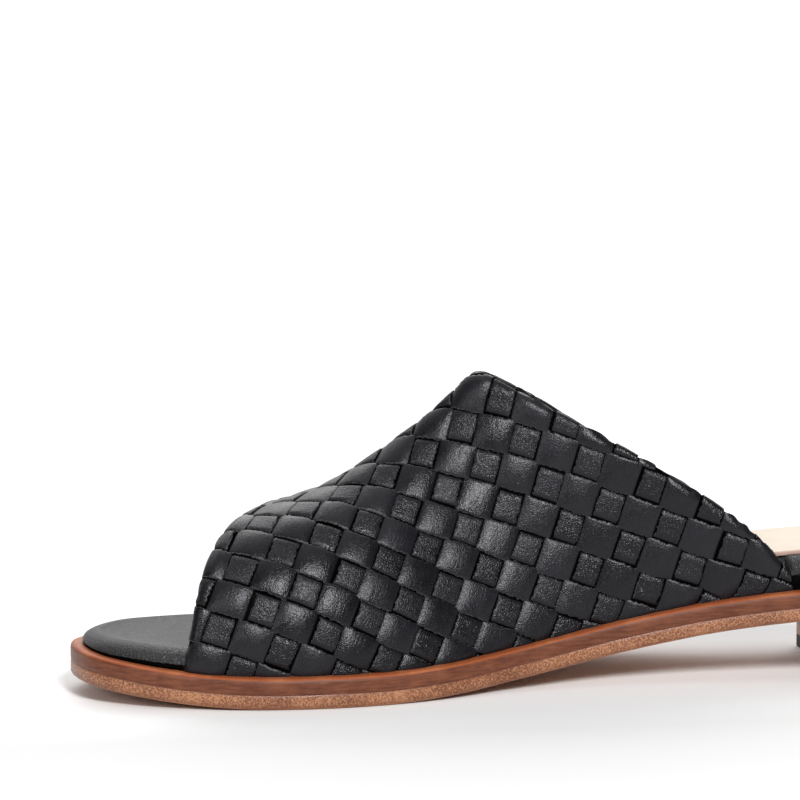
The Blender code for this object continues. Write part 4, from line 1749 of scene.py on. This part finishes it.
@dataclass(frozen=True)
class Studio:
    """Pale floor, soft lights and the camera at the photograph's angle."""

    azimuth: float = -9.63
    elevation: float = 6.79
    distance: float = 1.10
    pixels_per_metre: float = 3583.4
    picture: float = 800.0
    sensor: float = 36.0
    target: tuple[float, float, float] = (-0.0343, -0.00125, 0.0783)
    dim: float = 0.10
    glow: float = 1.00
    suns: tuple[Sun, ...] = (
        Sun("key", 10.0, 35.0, 16.0, 2.80),
        Sun("left", -42.0, 24.0, 18.0, 0.50),
        Sun("rim", 165.0, 40.0, 40.0, 0.75),
        Sun("overhead", 180.0, 72.0, 80.0, 0.95),
    )
    sun_distance: float = 2.0
    # y of each row of the floor, and how far its color goes from the shadow color to the far color; the
    # darker floor in front of the shoe, darkest just in front of it, is a painted shadow
    floor_rows: tuple = ((-6.0, 0.5), (-0.28, 0.5), (-0.08, 0.0), (-0.02, 1.0), (6.0, 1.0))
    floor_side: float = 6.0
    # color of the painted shadow on the floor
    floor_shadow: Color = (0.76, 0.76, 0.76)
    floor_far: Color = (0.98, 0.98, 0.98)

    def stand(self, data: bpy.types.ID, back: Vector, spot: Vector) -> Item:
        """Stands a camera or light at a spot, looking against a direction.

        Args:
            data: The camera or light.
            back: The direction from the target to it.
            spot: Where it stands.

        Returns:
            Its object.
        """
        item = bpy.data.objects.new(data.name, data)
        item.location = spot
        item.rotation_mode = "QUATERNION"
        item.rotation_quaternion = (-back).to_track_quat("-Z", "Y")
        bpy.context.scene.collection.objects.link(item)
        return item

    def camera(self) -> None:
        """Places the camera."""
        back = direction(self.azimuth, self.elevation)
        data = bpy.data.cameras.new("camera")
        data.sensor_width = self.sensor
        data.lens = self.pixels_per_metre * self.distance / self.picture * self.sensor
        spot = Vector(self.target) + back * self.distance
        bpy.context.scene.camera = self.stand(data, back, spot)

    def lights(self) -> None:
        """Adds the suns."""
        for sun in self.suns:
            data = bpy.data.lights.new(sun.name, "SUN")
            data.angle = math.radians(sun.spread)
            data.energy = sun.power
            back = direction(sun.azimuth, sun.elevation)
            self.stand(data, back, back * self.sun_distance)

    def surround(self) -> None:
        """White backdrop to the eye; as light it is dim, and brighter low down behind the shoe."""
        world = bpy.data.worlds.new("surround")
        world.use_nodes = True
        tree = world.node_tree
        background = tree.nodes["Background"]
        way = tree.nodes.new("ShaderNodeTexCoord").outputs["Generated"]
        split = tree.nodes.new("ShaderNodeSeparateXYZ")
        tree.links.new(way, split.inputs[0])
        glow = tree.nodes.new("ShaderNodeMapRange")
        glow.interpolation_type = "SMOOTHSTEP"
        limits = {"From Min": 0.1, "From Max": 0.95, "To Min": self.dim, "To Max": self.glow}
        for key, value in limits.items():
            glow.inputs[key].default_value = value
        tree.links.new(split.outputs["Y"], glow.inputs["Value"])
        seen = tree.nodes.new("ShaderNodeMix")
        seen.inputs["B"].default_value = 1.05
        tree.links.new(tree.nodes.new("ShaderNodeLightPath").outputs["Is Camera Ray"], seen.inputs["Factor"])
        tree.links.new(glow.outputs["Result"], seen.inputs["A"])
        tree.links.new(seen.outputs[0], background.inputs["Strength"])
        background.inputs["Color"].default_value = (1.0, 1.0, 1.0, 1.0)
        bpy.context.scene.world = world

    def build(self) -> None:
        """Adds the camera, the lights, the pale surround and the floor."""
        self.camera()
        self.surround()
        self.lights()
        paint = Paint("pale_floor")
        # painted shadow: the floor is darker in front of the shoe
        color = paint.mix(paint.read("far"), self.floor_shadow, self.floor_far)
        material = paint.finish(Base_Color=color, Roughness=0.9)
        rows, far = np.array(self.floor_rows).T
        x, y = np.meshgrid([-self.floor_side, self.floor_side], rows)
        points = np.stack([x.ravel(), y.ravel(), np.zeros(x.size)], 1)
        faces = grid_faces(len(rows), 2, False)
        make_piece("floor", points, faces, material, {"far": np.repeat(far, 2)})
        bpy.context.scene.view_settings.view_transform = "Standard"


def main() -> None:
    """Builds every piece in order and reports it."""
    logging.basicConfig(level=logging.INFO, format="%(message)s")
    last = Last()
    Outsole(last).build()
    Welt(last).build()
    Heel(last).build()
    Footbed(last).build()
    HeelSock(last).build()
    Upper(last).build()
    Studio().build()


if __name__ == "__main__":
    main()
